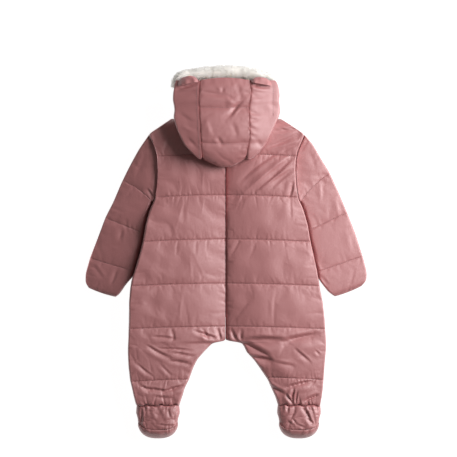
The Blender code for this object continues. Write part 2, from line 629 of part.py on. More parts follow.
def build_hood_centre():
    """Centre strip of the hood: from the face edge over the crown and back under to the nape."""
    outer, inner = [], []
    for number, row in enumerate(STRIP):
        before = STRIP[max(number - 1, 0)]
        after = STRIP[min(number + 1, len(STRIP) - 1)]
        along = Vector((after.y - before.y, after.z - before.z)).normalized()
        inwards = Vector((-along.y, along.x))
        left = edge_at(HOOD, "left_seam", row.y) + HOOD_SEAM_GAP / 2
        right = edge_at(HOOD, "right_seam", row.y) - HOOD_SEAM_GAP / 2
        near = row.z > HOOD_REST + 8.0
        outer_row, inner_row = [], []
        for share in STRIP_COLUMNS:
            x = left + (right - left) * share
            bow = row.bow * (2.0 * share - 1.0) ** 2
            from_seam = rounded(min(x - left, right - x), SEAM_DIP_ROUND)
            dip = SEAM_DIP * (1.0 - from_seam) * float(near)
            outer_row.append((x, row.y + bow + inwards.x * dip, row.z + inwards.y * dip))
            y, z = row.y + bow + inwards.x * HOOD_WALL, row.z + inwards.y * HOOD_WALL
            inner_row.append((x, y, z))
        outer.append(outer_row)
        inner.append(inner_row)
    return solid_between("hood_centre", outer, inner, "shell")


def build_fleece_roll():
    """Fleece facing that rolls out of the hood's mouth, over the collar's edge."""
    outer, inner = [], []
    places = range(len(ROLL))
    count = (len(ROLL) - 1) * ROLL_STEPS + 1
    for number in range(count):
        at = number / ROLL_STEPS
        values = [float(np.interp(at, places, [row[i] for row in ROLL])) for i in range(4)]
        row = RollRow(*values)
        ahead = [float(np.interp(at + 0.5, places, [r[i] for r in ROLL])) for i in range(2)]
        behind = [float(np.interp(at - 0.5, places, [r[i] for r in ROLL])) for i in range(2)]
        along = Vector((ahead[0] - behind[0], ahead[1] - behind[1])).normalized()
        inwards = Vector((along.y, -along.x))
        outer_row, inner_row = [], []
        for point in ROLL_SECTION:
            depth = row.width * point.across
            x, y = row.x + inwards.x * depth, row.y + inwards.y * depth
            outer_row.append((x, y, COLLAR_HEIGHT + row.height * point.up))
            x_in = row.x + inwards.x * max(depth, 0.3)
            y_in = row.y + inwards.y * max(depth, 0.3)
            inner_row.append((x_in, y_in, COLLAR_HEIGHT + SEAM_GAP))
        outer.append(outer_row)
        inner.append(inner_row)
    return solid_between("hood_fleece", outer, inner, "fleece")


def hood_height(x, y):
    """Height of the outside of a hood side at a point seen from above."""
    side = "left" if x < 0.0 else "right"
    y = min(y, HOOD[0].y)
    edge_x = edge_at(HOOD, side + "_edge", y)
    seam_x = edge_at(HOOD, side + "_seam", y)
    to_round = abs(edge_x - seam_x) - HOOD_ROUND
    top = edge_at(HOOD, "near_z", y) - HOOD_SLOPE * min(abs(x - seam_x), to_round)
    beyond = min(max(abs(x - seam_x) - to_round, 0.0) / HOOD_ROUND, 1.0)
    rest = edge_at(HOOD, "rest_z", y)
    middle = (top + rest) / 2
    return middle + (top - middle) * math.sqrt(1.0 - beyond ** 2)


def build_ear(ear):
    """Small rounded ear, sewn flat to the hood beside its seam and arched off it."""
    turn = math.radians(ear.turn)
    outer, inner = [], []
    for up in EAR_ROWS:
        half = ear.half_width * math.sqrt(1.0 - (0.93 * up) ** 2)
        outer_row, inner_row = [], []
        for across in EAR_COLUMNS:
            a, b = half * across, ear.height * up
            x = ear.x + a * math.cos(turn) - b * math.sin(turn)
            y = ear.y + a * math.sin(turn) + b * math.cos(turn)
            hood_z = hood_height(x, y) + EAR_REST
            arch = EAR_ARCH * (1.0 - across ** 2) * math.sin(math.pi / 2 * min(up * 1.6, 1.0))
            outer_row.append((x, y, hood_z + arch + EAR_WALL))
            inner_row.append((x, y, hood_z + arch))
        outer.append(outer_row)
        inner.append(inner_row)
    return solid_between(ear.name, outer, inner, "shell")


def arch_point(side, degrees, half, depth):
    """A point of the foot's rounded end, or of the sole's seam, by its angle from the toe."""
    angle = math.radians(degrees)
    x = half * math.copysign(abs(math.sin(angle)) ** ARCH_POWER, degrees)
    y = FOOT_ROUND_Y - depth * math.cos(angle) ** ARCH_POWER
    return FOOT_MIDDLE[side] + x, y


def foot_section(side, share, columns, depth):
    """Points across a bootie between its ankle, share 0, and its sole's seam, share 1."""
    found = []
    widest = arch_point(side, SOLE_SPAN, SOLE_SEAM_HALF, depth)[0] - FOOT_MIDDLE[side]
    for number in range(columns + 1):
        turn = SOLE_SPAN * (2.0 * number / columns - 1.0)
        x_seam, y_seam = arch_point(side, turn, SOLE_SEAM_HALF, depth)
        across = (x_seam - FOOT_MIDDLE[side]) / widest
        y = FOOT_TOP_Y + (y_seam - FOOT_TOP_Y) * share
        half = float(np.interp(-y, [-p[0] for p in FOOT_HALF], [p[1] for p in FOOT_HALF]))
        half = half + (widest - half) * max(share - 0.5, 0.0) * 2.0
        found.append((FOOT_MIDDLE[side] + half * across, y, across, half * (1.0 - abs(across))))
    return found


def build_foot_upper(side):
    """Upper of a bootie, gathered below the ankle's elastic."""
    base = FOOT_MID + SEAM_GAP / 2
    outer, inner = [], []
    columns = 4 * GATHERS
    for share in FOOT_ROWS:
        ends = min(0.35 + 0.65 * rounded(share, 0.45), 0.55 + 0.45 * rounded(1.0 - share, 0.35))
        top_row, low_row = [], []
        for x, y, across, aside in foot_section(side, share, columns, SOLE_SEAM_DEPTH):
            gather = GATHER_DEPTH * math.cos(math.pi * GATHERS * across)
            gather *= math.exp((y - FOOT_TOP_Y) / GATHER_REACH)
            height = EDGE + (FOOT_LOFT - EDGE + gather) * rounded(aside, FOOT_ROUND) * ends
            top_row.append((x, y, base + height))
            low_row.append((x, y, base))
        outer.append(top_row)
        inner.append(low_row)
    return solid_between("foot_upper_" + side, outer, inner, "shell")


def build_foot_front(side):
    """Instep of a bootie, under its upper and flat on the surface."""
    top = FOOT_MID - SEAM_GAP / 2
    outer, inner = [], []
    for share in INSTEP_ROWS:
        top_row, low_row = [], []
        for x, y, _, aside in foot_section(side, share, INSTEP_COLUMNS, SOLE_SEAM_DEPTH):
            top_row.append((x, y, top))
            low_row.append((x, y, (top - EDGE) * (1.0 - rounded(aside, UNDER_ROUND))))
        outer.append(top_row)
        inner.append(low_row)
    return solid_between("foot_front_" + side, outer, inner, "shell")


def build_sole(side):
    """Sole of a bootie, folded round its end from the seam down to the surface."""
    outer, inner = [], []
    rise = FOOT_MID + SOLE_SEAM_HEIGHT - SOLE_EDGE_HEIGHT
    for across in SOLE_ROWS:
        top_row, low_row = [], []
        for number in range(SOLE_COLUMNS + 1):
            turn = SOLE_SPAN * (2.0 * number / SOLE_COLUMNS - 1.0)
            near = Vector(arch_point(side, turn, SOLE_SEAM_HALF, SOLE_SEAM_DEPTH))
            near.y -= SOLE_GAP
            far = Vector(arch_point(side, turn, SOLE_HALF, SOLE_DEPTH))
            place = near + (far - near) * across
            at_toe = 0.45 + 0.55 * math.cos(math.radians(turn))
            crown = SOLE_EDGE_HEIGHT + rise * at_toe * math.sqrt(1.0 - across ** 2)
            top_row.append((place.x, place.y, crown))
            low_row.append((place.x, place.y, SOLE_LIFT * across ** 3))
        outer.append(top_row)
        inner.append(low_row)
    return solid_between("sole_" + side, outer, inner, "shell")


def build_zip():
    """Closed zip in its groove underneath: a chain, and a slider with its tab folded up."""
    bpy.ops.mesh.primitive_cube_add(size=1.0)
    chain = bpy.context.object
    chain.name = chain.data.name = "zip_chain"
    size = Vector((ZIP_WIDTH, ZIP_TOP - ZIP_END, ZIP_HIGH - ZIP_LOW)) * MM
    place = Vector((CENTRE, (ZIP_TOP + ZIP_END) / 2, (ZIP_HIGH + ZIP_LOW) / 2)) * MM
    for vertex in chain.data.vertices:
        vertex.co = Vector([a * b for a, b in zip(vertex.co, size)]) + place
    chain.data.materials.append(make_material("zip_chain", "zip"))
    move_to_parts(chain)
    outline = [(CENTRE + point.half_width, ZIP_TOP + point.beyond) for point in TAB]
    outline += [(CENTRE - point.half_width, ZIP_TOP + point.beyond) for point in reversed(TAB)]
    shape = bmesh.new()
    corners = [shape.verts.new(Vector((x, y, ZIP_LOW)) * MM) for x, y in outline]
    plate = shape.faces.new(corners)
    risen = bmesh.ops.extrude_face_region(shape, geom=[plate])["geom"]
    for vertex in [v for v in risen if isinstance(v, bmesh.types.BMVert)]:
        vertex.co.z = ZIP_HIGH * MM
    bmesh.ops.recalc_face_normals(shape, faces=shape.faces)
    mesh = bpy.data.meshes.new("zip_slider")
    shape.to_mesh(mesh)
    shape.free()
    mesh.materials.append(make_material("zip_slider", "zip"))
    PARTS.objects.link(bpy.data.objects.new("zip_slider", mesh))


def move_to_parts(item):
    for collection in list(item.users_collection):
        collection.objects.unlink(item)
    PARTS.objects.link(item)


clear_scene()
PARTS = bpy.data.collections.new("baby_snowsuit")
bpy.context.scene.collection.children.link(PARTS)
for SIDE in ("left", "right"):
    build_back(SIDE)
    build_front(SIDE)
    build_top_sleeve(SIDE)
    build_under_sleeve(SIDE)
    build_hood_side(SIDE)
    build_foot_upper(SIDE)
    build_foot_front(SIDE)
    build_sole(SIDE)
build_hood_centre()
build_fleece_roll()
for EAR in EARS:
    build_ear(EAR)
build_zip()
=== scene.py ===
# %% [markdown]
# A quilted baby snowsuit lies flat on its front, and we look straight down on its back. The
# imported model gives every piece at its real size, as plain solids. This lesson dresses them: each
# panel is made again as fine cloth with stitched channels, gathers and folds, and a short cloth
# simulation swells it against its stitching, the way that wadding does. We begin by loading the
# solids.

# %% Load the imported model
import json
import math
from collections import namedtuple

import bmesh
import bpy
import numpy as np
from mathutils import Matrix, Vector

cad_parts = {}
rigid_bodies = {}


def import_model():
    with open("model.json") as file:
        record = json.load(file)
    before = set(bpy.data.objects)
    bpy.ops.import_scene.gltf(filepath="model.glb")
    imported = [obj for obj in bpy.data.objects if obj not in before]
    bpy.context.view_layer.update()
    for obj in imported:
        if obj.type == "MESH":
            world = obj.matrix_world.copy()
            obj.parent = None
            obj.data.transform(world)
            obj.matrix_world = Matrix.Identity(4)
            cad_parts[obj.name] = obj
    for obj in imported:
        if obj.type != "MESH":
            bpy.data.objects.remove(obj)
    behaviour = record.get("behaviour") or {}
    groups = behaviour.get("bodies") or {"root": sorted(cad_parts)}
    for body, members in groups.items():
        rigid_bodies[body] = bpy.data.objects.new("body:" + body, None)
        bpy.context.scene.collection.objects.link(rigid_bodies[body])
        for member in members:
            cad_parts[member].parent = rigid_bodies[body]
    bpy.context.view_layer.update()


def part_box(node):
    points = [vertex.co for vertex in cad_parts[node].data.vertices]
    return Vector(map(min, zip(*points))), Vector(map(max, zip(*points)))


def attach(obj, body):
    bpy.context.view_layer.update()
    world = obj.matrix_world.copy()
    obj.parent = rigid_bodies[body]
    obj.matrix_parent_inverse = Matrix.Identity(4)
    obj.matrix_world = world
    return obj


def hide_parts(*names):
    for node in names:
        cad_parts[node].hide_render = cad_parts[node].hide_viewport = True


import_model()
MM = 0.001


# %% [markdown]
# The garment's cut is kept as short tables in millimetres: x to the wearer's right, y to the
# head, z up from the surface. A table lists only the places where an edge changes direction, and
# a curve is drawn through them by sampling every millimetre and blurring, as a pattern cutter
# smooths a line.

# %% The cut of the body and legs
BODY_MID = 18.0          # heights of the planes in which two quilted layers meet
SLEEVE_MID = 10.0
FOOT_MID = 14.0
HOOD_REST = 43.2         # height of the hood's underside on the back
COLLAR_HEIGHT = 12.15    # and on the collar
HALF_GAP = 0.15          # half of the gap between two pieces
CENTRE = -1.0
NECK_Y = 240.0
CROTCH_Y = -158.5
INSEAM_Y = -185.0
ANKLE_Y = -275.5
FACE_Y = 307.5           # end of the hood's sides at the face
SIDES = {"left": -1.0, "right": 1.0}    # sign of x

BodyRow = namedtuple("BodyRow", "y left_outer left_inner right_inner right_outer")
BODY = [BodyRow(y, left, CENTRE, CENTRE, right) for y, left, right in (
    (240, -98.5, 98.5), (211.5, -141, 142), (204, -136, 138.4), (196, -131.4, 135),
    (187, -127.4, 131), (178, -124.8, 127.8), (166, -123.1, 125.6), (150, -122.5, 124.8),
    (131, -122.8, 125.6), (111, -124.8, 127.4), (96, -128, 130), (84, -133.5, 136),
    (72, -138.5, 140.5), (48, -144.8, 147.2), (18, -150, 152.5), (-10, -157.5, 158.8),
    (-32, -164, 163.5), (-50, -170, 166.8), (-68, -172.8, 169), (-90, -174.6, 174),
    (-122, -175, 177.5), (-160.4, -176.1, 180),
)]
BODY += [BodyRow(*row) for row in (
    (-161.2, -176.1, -10, 12, 180), (-162.4, -176.2, -21, 25, 180),
    (-165.6, -176.3, -25.8, 29.5, 180), (-172.8, -176.5, -32.6, 33.8, 179.8),
    (-180, -176.5, -39.5, 36.5, 179.5), (-194, -176, -51.5, 50, 178.2),
    (-208, -175.3, -58.5, 60, 177), (-230, -173, -66.5, 75, 175.5),
    (-245, -169.5, -74, 81.5, 174.2), (-259, -166.5, -78, 88, 172.5),
    (-275.5, -162, -84, 93.5, 169.5),
)]

# %% The quilting lines of the backs
QuiltLine = namedtuple("QuiltLine", "name left_y right_y")
BACK_LINES = [QuiltLine(*row) for row in (
    ("neck", NECK_Y, NECK_Y), ("yoke", 176.4, 176.4), ("chest", 102.6, 102.6),
    ("waist", 23, 23), ("hip", -56.5, -56.5), ("seat", -133.7, -133.7),
    ("knee", -229, -225.5), ("ankle", ANKLE_Y, ANKLE_Y),
)]

# %% The cut of the sleeves
SleeveRow = namedtuple("SleeveRow", "line outer_x outer_y inner_x inner_y bow")
SLEEVES = {
    "left": [SleeveRow(*row) for row in (
        (0, -141, 211.5, -128.6, 96, 0), (0.3, -157, 187, -129.4, 94, -8),
        (0.7, -172, 158, -129.8, 91.5, -6), (1, -187.2, 128, -130.2, 88.5, -4),
        (1.5, -203.4, 90, -131.4, 65, -1), (2, -217.8, 61.7, -138.6, 29.5, 0),
        (2.5, -231.3, 25.2, -145.4, -3, 0), (3, -245.6, -11.7, -160.5, -36.5, 0),
        (3.45, -253.3, -39.6, -179.5, -57.5, 1), (3.8, -253.4, -55.8, -192.5, -76.5, 2),
        (4, -247.5, -64.8, -199, -81, 1.5),
    )],
    "right": [SleeveRow(*row) for row in (
        (0, 142, 211.5, 130.6, 97, 0), (0.3, 156.6, 194.4, 131.6, 94.6, -8),
        (0.7, 172.8, 165.6, 132.2, 92, -6), (1, 187.2, 142.2, 132.8, 89, -4),
        (1.5, 203.4, 106.2, 133.8, 67, -1), (2, 218.3, 71.3, 139.5, 35, 0),
        (2.5, 232.2, 36, 147.5, 1.6, 0), (3, 246.6, -8.1, 160, -38, 0),
        (3.45, 253.8, -36, 172.5, -56.6, 1), (3.8, 253.4, -51.3, 185.4, -72.9, 2),
        (4, 244.8, -61.2, 196.2, -80.1, 1.5),
    )],
}

# %% The cut of the hood and its fleece
HoodRow = namedtuple("HoodRow", "y left_edge left_seam right_seam right_edge near_z rest_z")
HOOD = [HoodRow(*row) for row in (
    (FACE_Y, -92, -47.5, 43, 91, 66, COLLAR_HEIGHT),
    (299, -94, -48, 43.5, 95.5, 68.5, COLLAR_HEIGHT),
    (287, -95.5, -49, 45, 96.5, 71, COLLAR_HEIGHT),
    (272, -95.5, -49.5, 42.5, 95, 73, COLLAR_HEIGHT),
    (258, -92.5, -49, 40.5, 97, 73.5, COLLAR_HEIGHT),
    (250, -93, -48.5, 40.5, 97, 74.5, COLLAR_HEIGHT),
    (242.5, -94.5, -47.8, 41, 95, 75, HOOD_REST),
    (228.5, -90.5, -46.8, 41.5, 88.5, 76, HOOD_REST),
    (215, -86, -46.2, 42, 82.5, 76.5, HOOD_REST),
    (204, -81, -45.4, 42, 77, 76.5, HOOD_REST),
    (193, -75, -44.8, 40.5, 71, 75.5, HOOD_REST),
    (182, -65.5, -44.4, 38.5, 62.5, 73.5, HOOD_REST),
    (174, -57.5, -44.2, 37.8, 55, 70, HOOD_REST),
    (168, -50.5, -44, 37.5, 46, 66, HOOD_REST),
)]

# Centre strip from the face edge over the crown to the nape: height of its outer side and its bow
StripRow = namedtuple("StripRow", "y z bow")
STRIP = [StripRow(*row) for row in (
    (312, 67, -4.5), (304, 70, -3.5), (293, 73, -2), (283.5, 72, 0), (271, 76, 0), (262, 75, 0),
    (258.3, 72.5, 0), (254, 75.5, 0), (242, 78, 0), (226, 79.5, 0), (210, 80, 0.5), (199, 79, 1),
    (194, 76, 1.5), (189, 78, 2.5), (176, 76, 6), (164, 71, 9), (155, 64, 12), (151, 56.5, 13),
    (153.5, 48, 12), (162, HOOD_REST, 9), (200, HOOD_REST, 0), (237, HOOD_REST, 0),
)]

# Fleece roll of the mouth: its outer line seen from above, its width and height, and its section
RollRow = namedtuple("RollRow", "x y width height")
ROLL = [RollRow(*row) for row in (
    (-98.5, 297, 13, 24), (-97.8, 306, 16, 37), (-94.5, 316, 21, 40), (-87, 324.5, 27, 39),
    (-72, 329, 33, 36), (-52, 331.5, 36, 36), (-26, 334.8, 38, 36), (0, 336.5, 38, 36),
    (26, 335.5, 38, 36), (50, 332, 36, 36), (71, 326.5, 33, 36), (86, 319, 27, 39),
    (95.5, 309, 20, 38), (99.5, 297, 13, 24),
)]
RollPoint = namedtuple("RollPoint", "across up")
ROLL_SECTION = [RollPoint(*row) for row in (
    (0.03, 0.10), (0, 0.30), (0.04, 0.58), (0.14, 0.84), (0.30, 0.98), (0.48, 0.92), (0.68, 0.66),
    (0.86, 0.38), (1, 0.14),
)]

# Ears: middle of the sewn edge, half width, height, and turn of that edge in degrees
Ear = namedtuple("Ear", "name x y half_width height turn")
EARS = [Ear(*row) for row in (
    ("ear_left", -67.5, 301, 18.5, 13.5, 12),
    ("ear_right", 63, 300.5, 18.5, 12, -10),
)]

# Feet: middle of each bootie, its half width, and the arches of its end and of its sole's seam
FOOT_MIDDLE = {"left": -122.6, "right": 131.6}
FOOT_TOP_Y = -275.9
FootRow = namedtuple("FootRow", "y half")
FOOT_HALF = [FootRow(*row) for row in ((-276, 38.4), (-289, 39.6), (-302, 37.6))]
FOOT_ROUND_Y = -302.0
ARCH_POWER = 0.8
SOLE_HALF, SOLE_DEPTH = 37.0, 34.6
SOLE_SEAM_HALF, SOLE_SEAM_DEPTH = 36.2, 17.0
SOLE_SPAN = 78.0

# %% [markdown]
# A few small helpers do most of the shaping. An edge that is sewn and turned rounds down like a
# quarter circle; a dome falls more gently; the wadding between two stitched lines puffs up; and a
# blurred line replaces a table. They work on whole grids of points at once, which keeps them
# short.

# %% Helpers for lines and heights
def unit(value):
    return np.clip(value, 0.0, 1.0)


def pick(side, left, right):
    return left if side == "left" else right


def rounded(distance, radius):
    share = unit(np.asarray(distance, float) / radius)
    return np.sqrt(1.0 - (1.0 - share) ** 2)


def eased(distance, reach):
    return np.sin(np.pi / 2 * unit(np.asarray(distance, float) / reach))


def puff(share):
    return (4.0 * unit(share * (1.0 - share))) ** 0.5


def blurred_line(places, values, blur):
    """The line through a table's points as a function, its corners blurred over some mm."""
    order = np.argsort(places)
    places = np.asarray(places, float)[order]
    values = np.asarray(values, float)[order]
    margin = 6.0 * blur
    first = (values[1] - values[0]) / (places[1] - places[0])
    last = (values[-1] - values[-2]) / (places[-1] - places[-2])
    places = np.concatenate(([places[0] - margin], places, [places[-1] + margin]))
    values = np.concatenate(([values[0] - first * margin], values, [values[-1] + last * margin]))
    fine = np.arange(places[0], places[-1] + 1.0)
    reach = np.arange(-math.ceil(3 * blur), math.ceil(3 * blur) + 1)
    weights = np.exp(-0.5 * (reach / blur) ** 2)
    smooth = np.convolve(np.interp(fine, places, values), weights / weights.sum(), mode="same")
    return lambda at: np.interp(at, fine, smooth)


def table_line(table, name, blur):
    """One named column of a table against its y, as a blurred line."""
    return blurred_line([row.y for row in table], [getattr(row, name) for row in table], blur)


def outer_line(side):
    return table_line(BODY, side + "_outer", 3.0)


def inner_line(side):
    return table_line(BODY, side + "_inner", 1.2)


def spread(width, start_round, start_count, middle_count, end_round, end_count):
    """Distances across a panel: close together where its two edges round down, even between."""
    turn = np.linspace(0.0, np.pi / 2, start_count + 1)
    start = start_round * (1.0 - np.cos(turn))
    turn = np.linspace(np.pi / 2, 0.0, end_count + 1)
    end = width - end_round * (1.0 - np.cos(turn))
    middle = np.linspace(start_round, width - end_round, middle_count + 1)
    return np.concatenate((start, middle[1:-1], end))


def columns(widths, *spacing):
    """Shares across a panel, for each row of it, from the rows' widths."""
    return np.array([spread(width, *spacing) / width for width in widths])


# %% [markdown]
# Wadded cloth is never smooth. The stitches take up some of its length, so it gathers in short
# puckers on both sides of a line, unevenly spaced and each a little slanted. Larger folds are
# listed one by one, each as a soft trough beside a lower ridge. Slow waves in all directions stand
# for wadding that has shifted. Every random number comes from a seed, so each run gives the same
# suit.

# %% Puckers, folds and lumps
Pucker = namedtuple("Pucker", "at slant width reach depth")
Fold = namedtuple("Fold", "x0 y0 x1 y1 width depth")
RIDGE_SHARE = 0.30       # a fold's ridge is this much of its trough
RIDGE_OFFSET = 1.7       # and lies this many widths beside it
WAVES = 14               # waves that are added for one field of lumps


def folds(*rows):
    return [Fold(*row) for row in rows]


def puckers(seed, length, spacing, width, reach, depth):
    """A seeded row of puckers along a line of some length, all sizes in mm."""
    rng = np.random.default_rng(seed)
    found = []
    at = rng.uniform(2.0, spacing)
    while at < length - 2.0:
        found.append(Pucker(at, rng.normal(0.0, 0.25), width * rng.uniform(0.6, 1.6),
                            reach * rng.uniform(0.4, 1.7), depth * rng.uniform(0.25, 1.5)))
        at += spacing * rng.uniform(0.4, 1.8)
    return found


def puckered(found, along, away):
    """Height that puckers add at points, by their distances along a line and away from it."""
    away = np.maximum(away, 0.0)
    total = np.zeros(np.broadcast(along, away).shape)
    for pucker in found:
        across = (along - pucker.at - pucker.slant * away) / pucker.width
        shape = np.exp(-1.4 * np.abs(across) ** 1.2) - 0.4 * np.exp(-(across - 1.5) ** 2)
        total -= pucker.depth * shape * np.exp(-(away / pucker.reach) ** 1.4)
    return total


def folded(folds, x, y):
    """Height that a table of folds adds at points of a panel; each is steeper on one side."""
    total = np.zeros_like(x)
    for fold in folds:
        run_x, run_y = fold.x1 - fold.x0, fold.y1 - fold.y0
        length = math.hypot(run_x, run_y)
        along = ((x - fold.x0) * run_x + (y - fold.y0) * run_y) / length ** 2
        bent = 0.03 * length * np.sin(3.0 * along + fold.x0)
        aside = (((x - fold.x0) * run_y - (y - fold.y0) * run_x) / length + bent) / fold.width
        fade = np.sin(np.pi * unit(along * 0.9 + 0.05)) ** 0.8
        fade = np.where((along < -0.055) | (along > 1.055), 0.0, fade)
        over = 1.0 if 0.35 * run_x < 0.94 * run_y else -1.0
        aside = np.abs(aside) / np.where(aside * over > 0.0, 0.5, 1.2)
        shape = np.exp(-1.6 * aside ** 1.05) - RIDGE_SHARE * np.exp(-(aside - RIDGE_OFFSET) ** 2)
        total += fold.depth * fade * shape
    return total


def creased(seed, x, y, size, depth, turn=0.0, stretch=1.0):
    """Sharp creases that wander and fade out: the lines on which slow random waves cross zero."""
    turn = math.radians(turn)
    u = (x * math.cos(turn) + y * math.sin(turn)) / stretch
    v = y * math.cos(turn) - x * math.sin(turn)
    total = np.zeros_like(u)
    for number in range(3):
        wave = lumps(seed + number, u, v, size, 1.0)
        fade = unit(lumps(seed + 10 + number, u, v, size * 1.8, 1.0) + 0.1)
        total -= depth * fade * (np.exp(-np.abs(wave) / 0.25) - 0.25)
    return total


def lumps(seed, x, y, size, height):
    """Slow waves of about one size in every direction."""
    rng = np.random.default_rng(seed)
    total = np.zeros_like(x)
    for _ in range(WAVES):
        turn, phase = rng.uniform(0.0, 2 * np.pi, 2)
        wave = 2 * np.pi / (size * rng.uniform(0.7, 1.7))
        total += np.sin((x * np.cos(turn) + y * np.sin(turn)) * wave + phase)
    return height * total / math.sqrt(WAVES)


# %% [markdown]
# A panel starts as a sheet of quads through a grid of points. It could be inflated from a flat
# plane, but then its outline would shrink; starting from the cut, already puffed, leaves the
# simulation only the fine work. The cloth is pinned along its seams and stitched lines, given a
# few per cent of spare length, and pressed out by its wadding. The spare cloth then buckles into
# small natural creases.

# %% Make a sheet and let it settle
SCENE = bpy.context.scene
SETTLE_FRAMES = 14


def new_piece(name, points, faces):
    """A new object from points in metres and the corners of its faces."""
    mesh = bpy.data.meshes.new(name)
    mesh.from_pydata(points.reshape(-1, 3).tolist(), [], faces)
    piece = bpy.data.objects.new(name, mesh)
    SCENE.collection.objects.link(piece)
    return piece


def cloth_sheet(name, points, underside=False):
    """A sheet of quads through rows and columns of points in millimetres, facing out."""
    rows, columns = points.shape[:2]
    at = np.arange(rows * columns).reshape(rows, columns)
    corners = np.stack((at[:-1, :-1], at[:-1, 1:], at[1:, 1:], at[1:, :-1]), -1).reshape(-1, 4)
    across = points[:-1, 1:] - points[:-1, :-1]
    down = points[1:, :-1] - points[:-1, :-1]
    height = points[:-1, :-1, 2] * (-1.0 if underside else 1.0)
    facing = np.cross(across, down)[..., 2] * (height > height.max() - 2.0)
    if (facing.sum() < 0.0) != underside:
        corners = corners[:, ::-1]
    return new_piece(name, points * MM, corners.tolist())


def coordinates(mesh):
    flat = np.empty(len(mesh.vertices) * 3)
    mesh.vertices.foreach_get("co", flat)
    return flat.reshape(-1, 3)


def held_edges(shape):
    """Which points of a grid lie on its seams."""
    held = np.ones(shape, bool)
    held[1:-1, 1:-1] = False
    return held


def settle(sheet, pinned, pressure, spare, most):
    """Cloth simulation on a sheet, pinned where told; no point moves further than most, in mm."""
    start = coordinates(sheet.data)
    group = sheet.vertex_groups.new(name="stitched")
    group.add(np.flatnonzero(pinned.reshape(-1)).tolist(), 1.0, "REPLACE")
    cloth = sheet.modifiers.new("cloth", "CLOTH")
    settings = cloth.settings
    settings.quality = 4
    settings.mass = 0.02
    settings.air_damping = 4.0
    settings.tension_stiffness = settings.compression_stiffness = 12.0
    settings.shear_stiffness = 6.0
    settings.bending_stiffness = 0.02
    settings.vertex_group_mass = group.name
    settings.shrink_min = -spare
    settings.shrink_max = -spare
    settings.use_pressure = True
    settings.uniform_pressure_force = pressure
    settings.effector_weights.gravity = 0.0
    cloth.collision_settings.use_collision = False
    cloth.point_cache.frame_start = 1
    cloth.point_cache.frame_end = SETTLE_FRAMES
    for number in range(1, SETTLE_FRAMES + 1):
        SCENE.frame_set(number)
    found = sheet.evaluated_get(bpy.context.evaluated_depsgraph_get())
    moved = coordinates(found.data) - start
    sheet.modifiers.remove(cloth)
    SCENE.frame_set(1)
    length = np.linalg.norm(moved, axis=1, keepdims=True)
    limit = most * MM
    shorter = limit * np.tanh(length / limit) / np.maximum(length, 1e-9)
    moved *= np.where(length > 0.0, shorter, 0.0)
    sheet.data.vertices.foreach_set("co", (start + moved).ravel())
    sheet.vertex_groups.clear()
    print(sheet.name, "settled, mean move", round(float(length.mean()) / MM, 2), "mm")


# %% [markdown]
# A settled sheet becomes a panel in two ways. The quilted panels of the body lie on each other,
# so their sheet is closed down to the flat plane in which they meet. The hood and the ears are
# free walls, so their sheet gets a thickness inwards. Both are subdivided once first, which
# rounds the creases that the simulation left.

# %% Close a sheet into a panel
def only(piece):
    bpy.ops.object.select_all(action="DESELECT")
    piece.select_set(True)
    bpy.context.view_layer.objects.active = piece


def refine(piece):
    """Subdivide once with a Subdivision Surface modifier, which rounds as it divides."""
    only(piece)
    smoother = piece.modifiers.new("refine", "SUBSURF")
    smoother.levels = smoother.render_levels = 1
    bpy.ops.object.modifier_apply(modifier=smoother.name)


def turn_outward(piece):
    """Turn all faces of a closed piece outward."""
    only(piece)
    bpy.ops.object.mode_set(mode="EDIT")
    bpy.ops.mesh.select_all(action="SELECT")
    bpy.ops.mesh.normals_make_consistent(inside=False)
    bpy.ops.object.mode_set(mode="OBJECT")


def close_down(sheet, height):
    """Extrude the sheet's border to a plane at a height in mm, and fill it there."""
    only(sheet)
    bpy.ops.object.mode_set(mode="EDIT")
    bpy.ops.mesh.select_mode(type="EDGE")
    bpy.ops.mesh.select_all(action="SELECT")
    bpy.ops.mesh.region_to_loop()
    bpy.ops.mesh.extrude_region_move()
    shape = bmesh.from_edit_mesh(sheet.data)
    for vertex in shape.verts:
        if vertex.select:
            vertex.co.z = height * MM
    bmesh.update_edit_mesh(sheet.data)
    bpy.ops.mesh.edge_face_add()
    bpy.ops.mesh.quads_convert_to_tris(ngon_method="BEAUTY")
    bpy.ops.object.mode_set(mode="OBJECT")
    turn_outward(sheet)


def thicken(sheet, wall):
    """Give a free sheet a wall inwards, in mm."""
    only(sheet)
    solid = sheet.modifiers.new("wall", "SOLIDIFY")
    solid.thickness = wall * MM
    solid.offset = -1.0
    bpy.ops.object.modifier_apply(modifier=solid.name)


def smooth_shading(piece, degrees=50.0):
    only(piece)
    bpy.ops.object.shade_smooth_by_angle(angle=math.radians(degrees))


def dress(piece, node, slot, *materials):
    """Hand a piece its node's place, its body and its materials. The slot is not used."""
    piece.data.materials.clear()
    for material in materials:
        piece.data.materials.append(material)
    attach(piece, "root")
    if node:
        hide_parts(node)
    print(piece.name, len(piece.data.polygons), "faces")


def finish_panel(panel, node, plane=None, wall=None):
    """Round a sheet, close it down to a plane or give it a wall, both in mm, and dress it."""
    refine(panel)
    if wall:
        thicken(panel, wall)
    else:
        close_down(panel, plane)
    smooth_shading(panel)
    dress(panel, node, "shell", SHELL)
    return panel


# %% [markdown]
# Shader maths reads best as formulas. A Wire wraps one socket of a material, and arithmetic on it
# adds the Math nodes; a Paint box makes any other node from its type, its settings and its
# inputs.

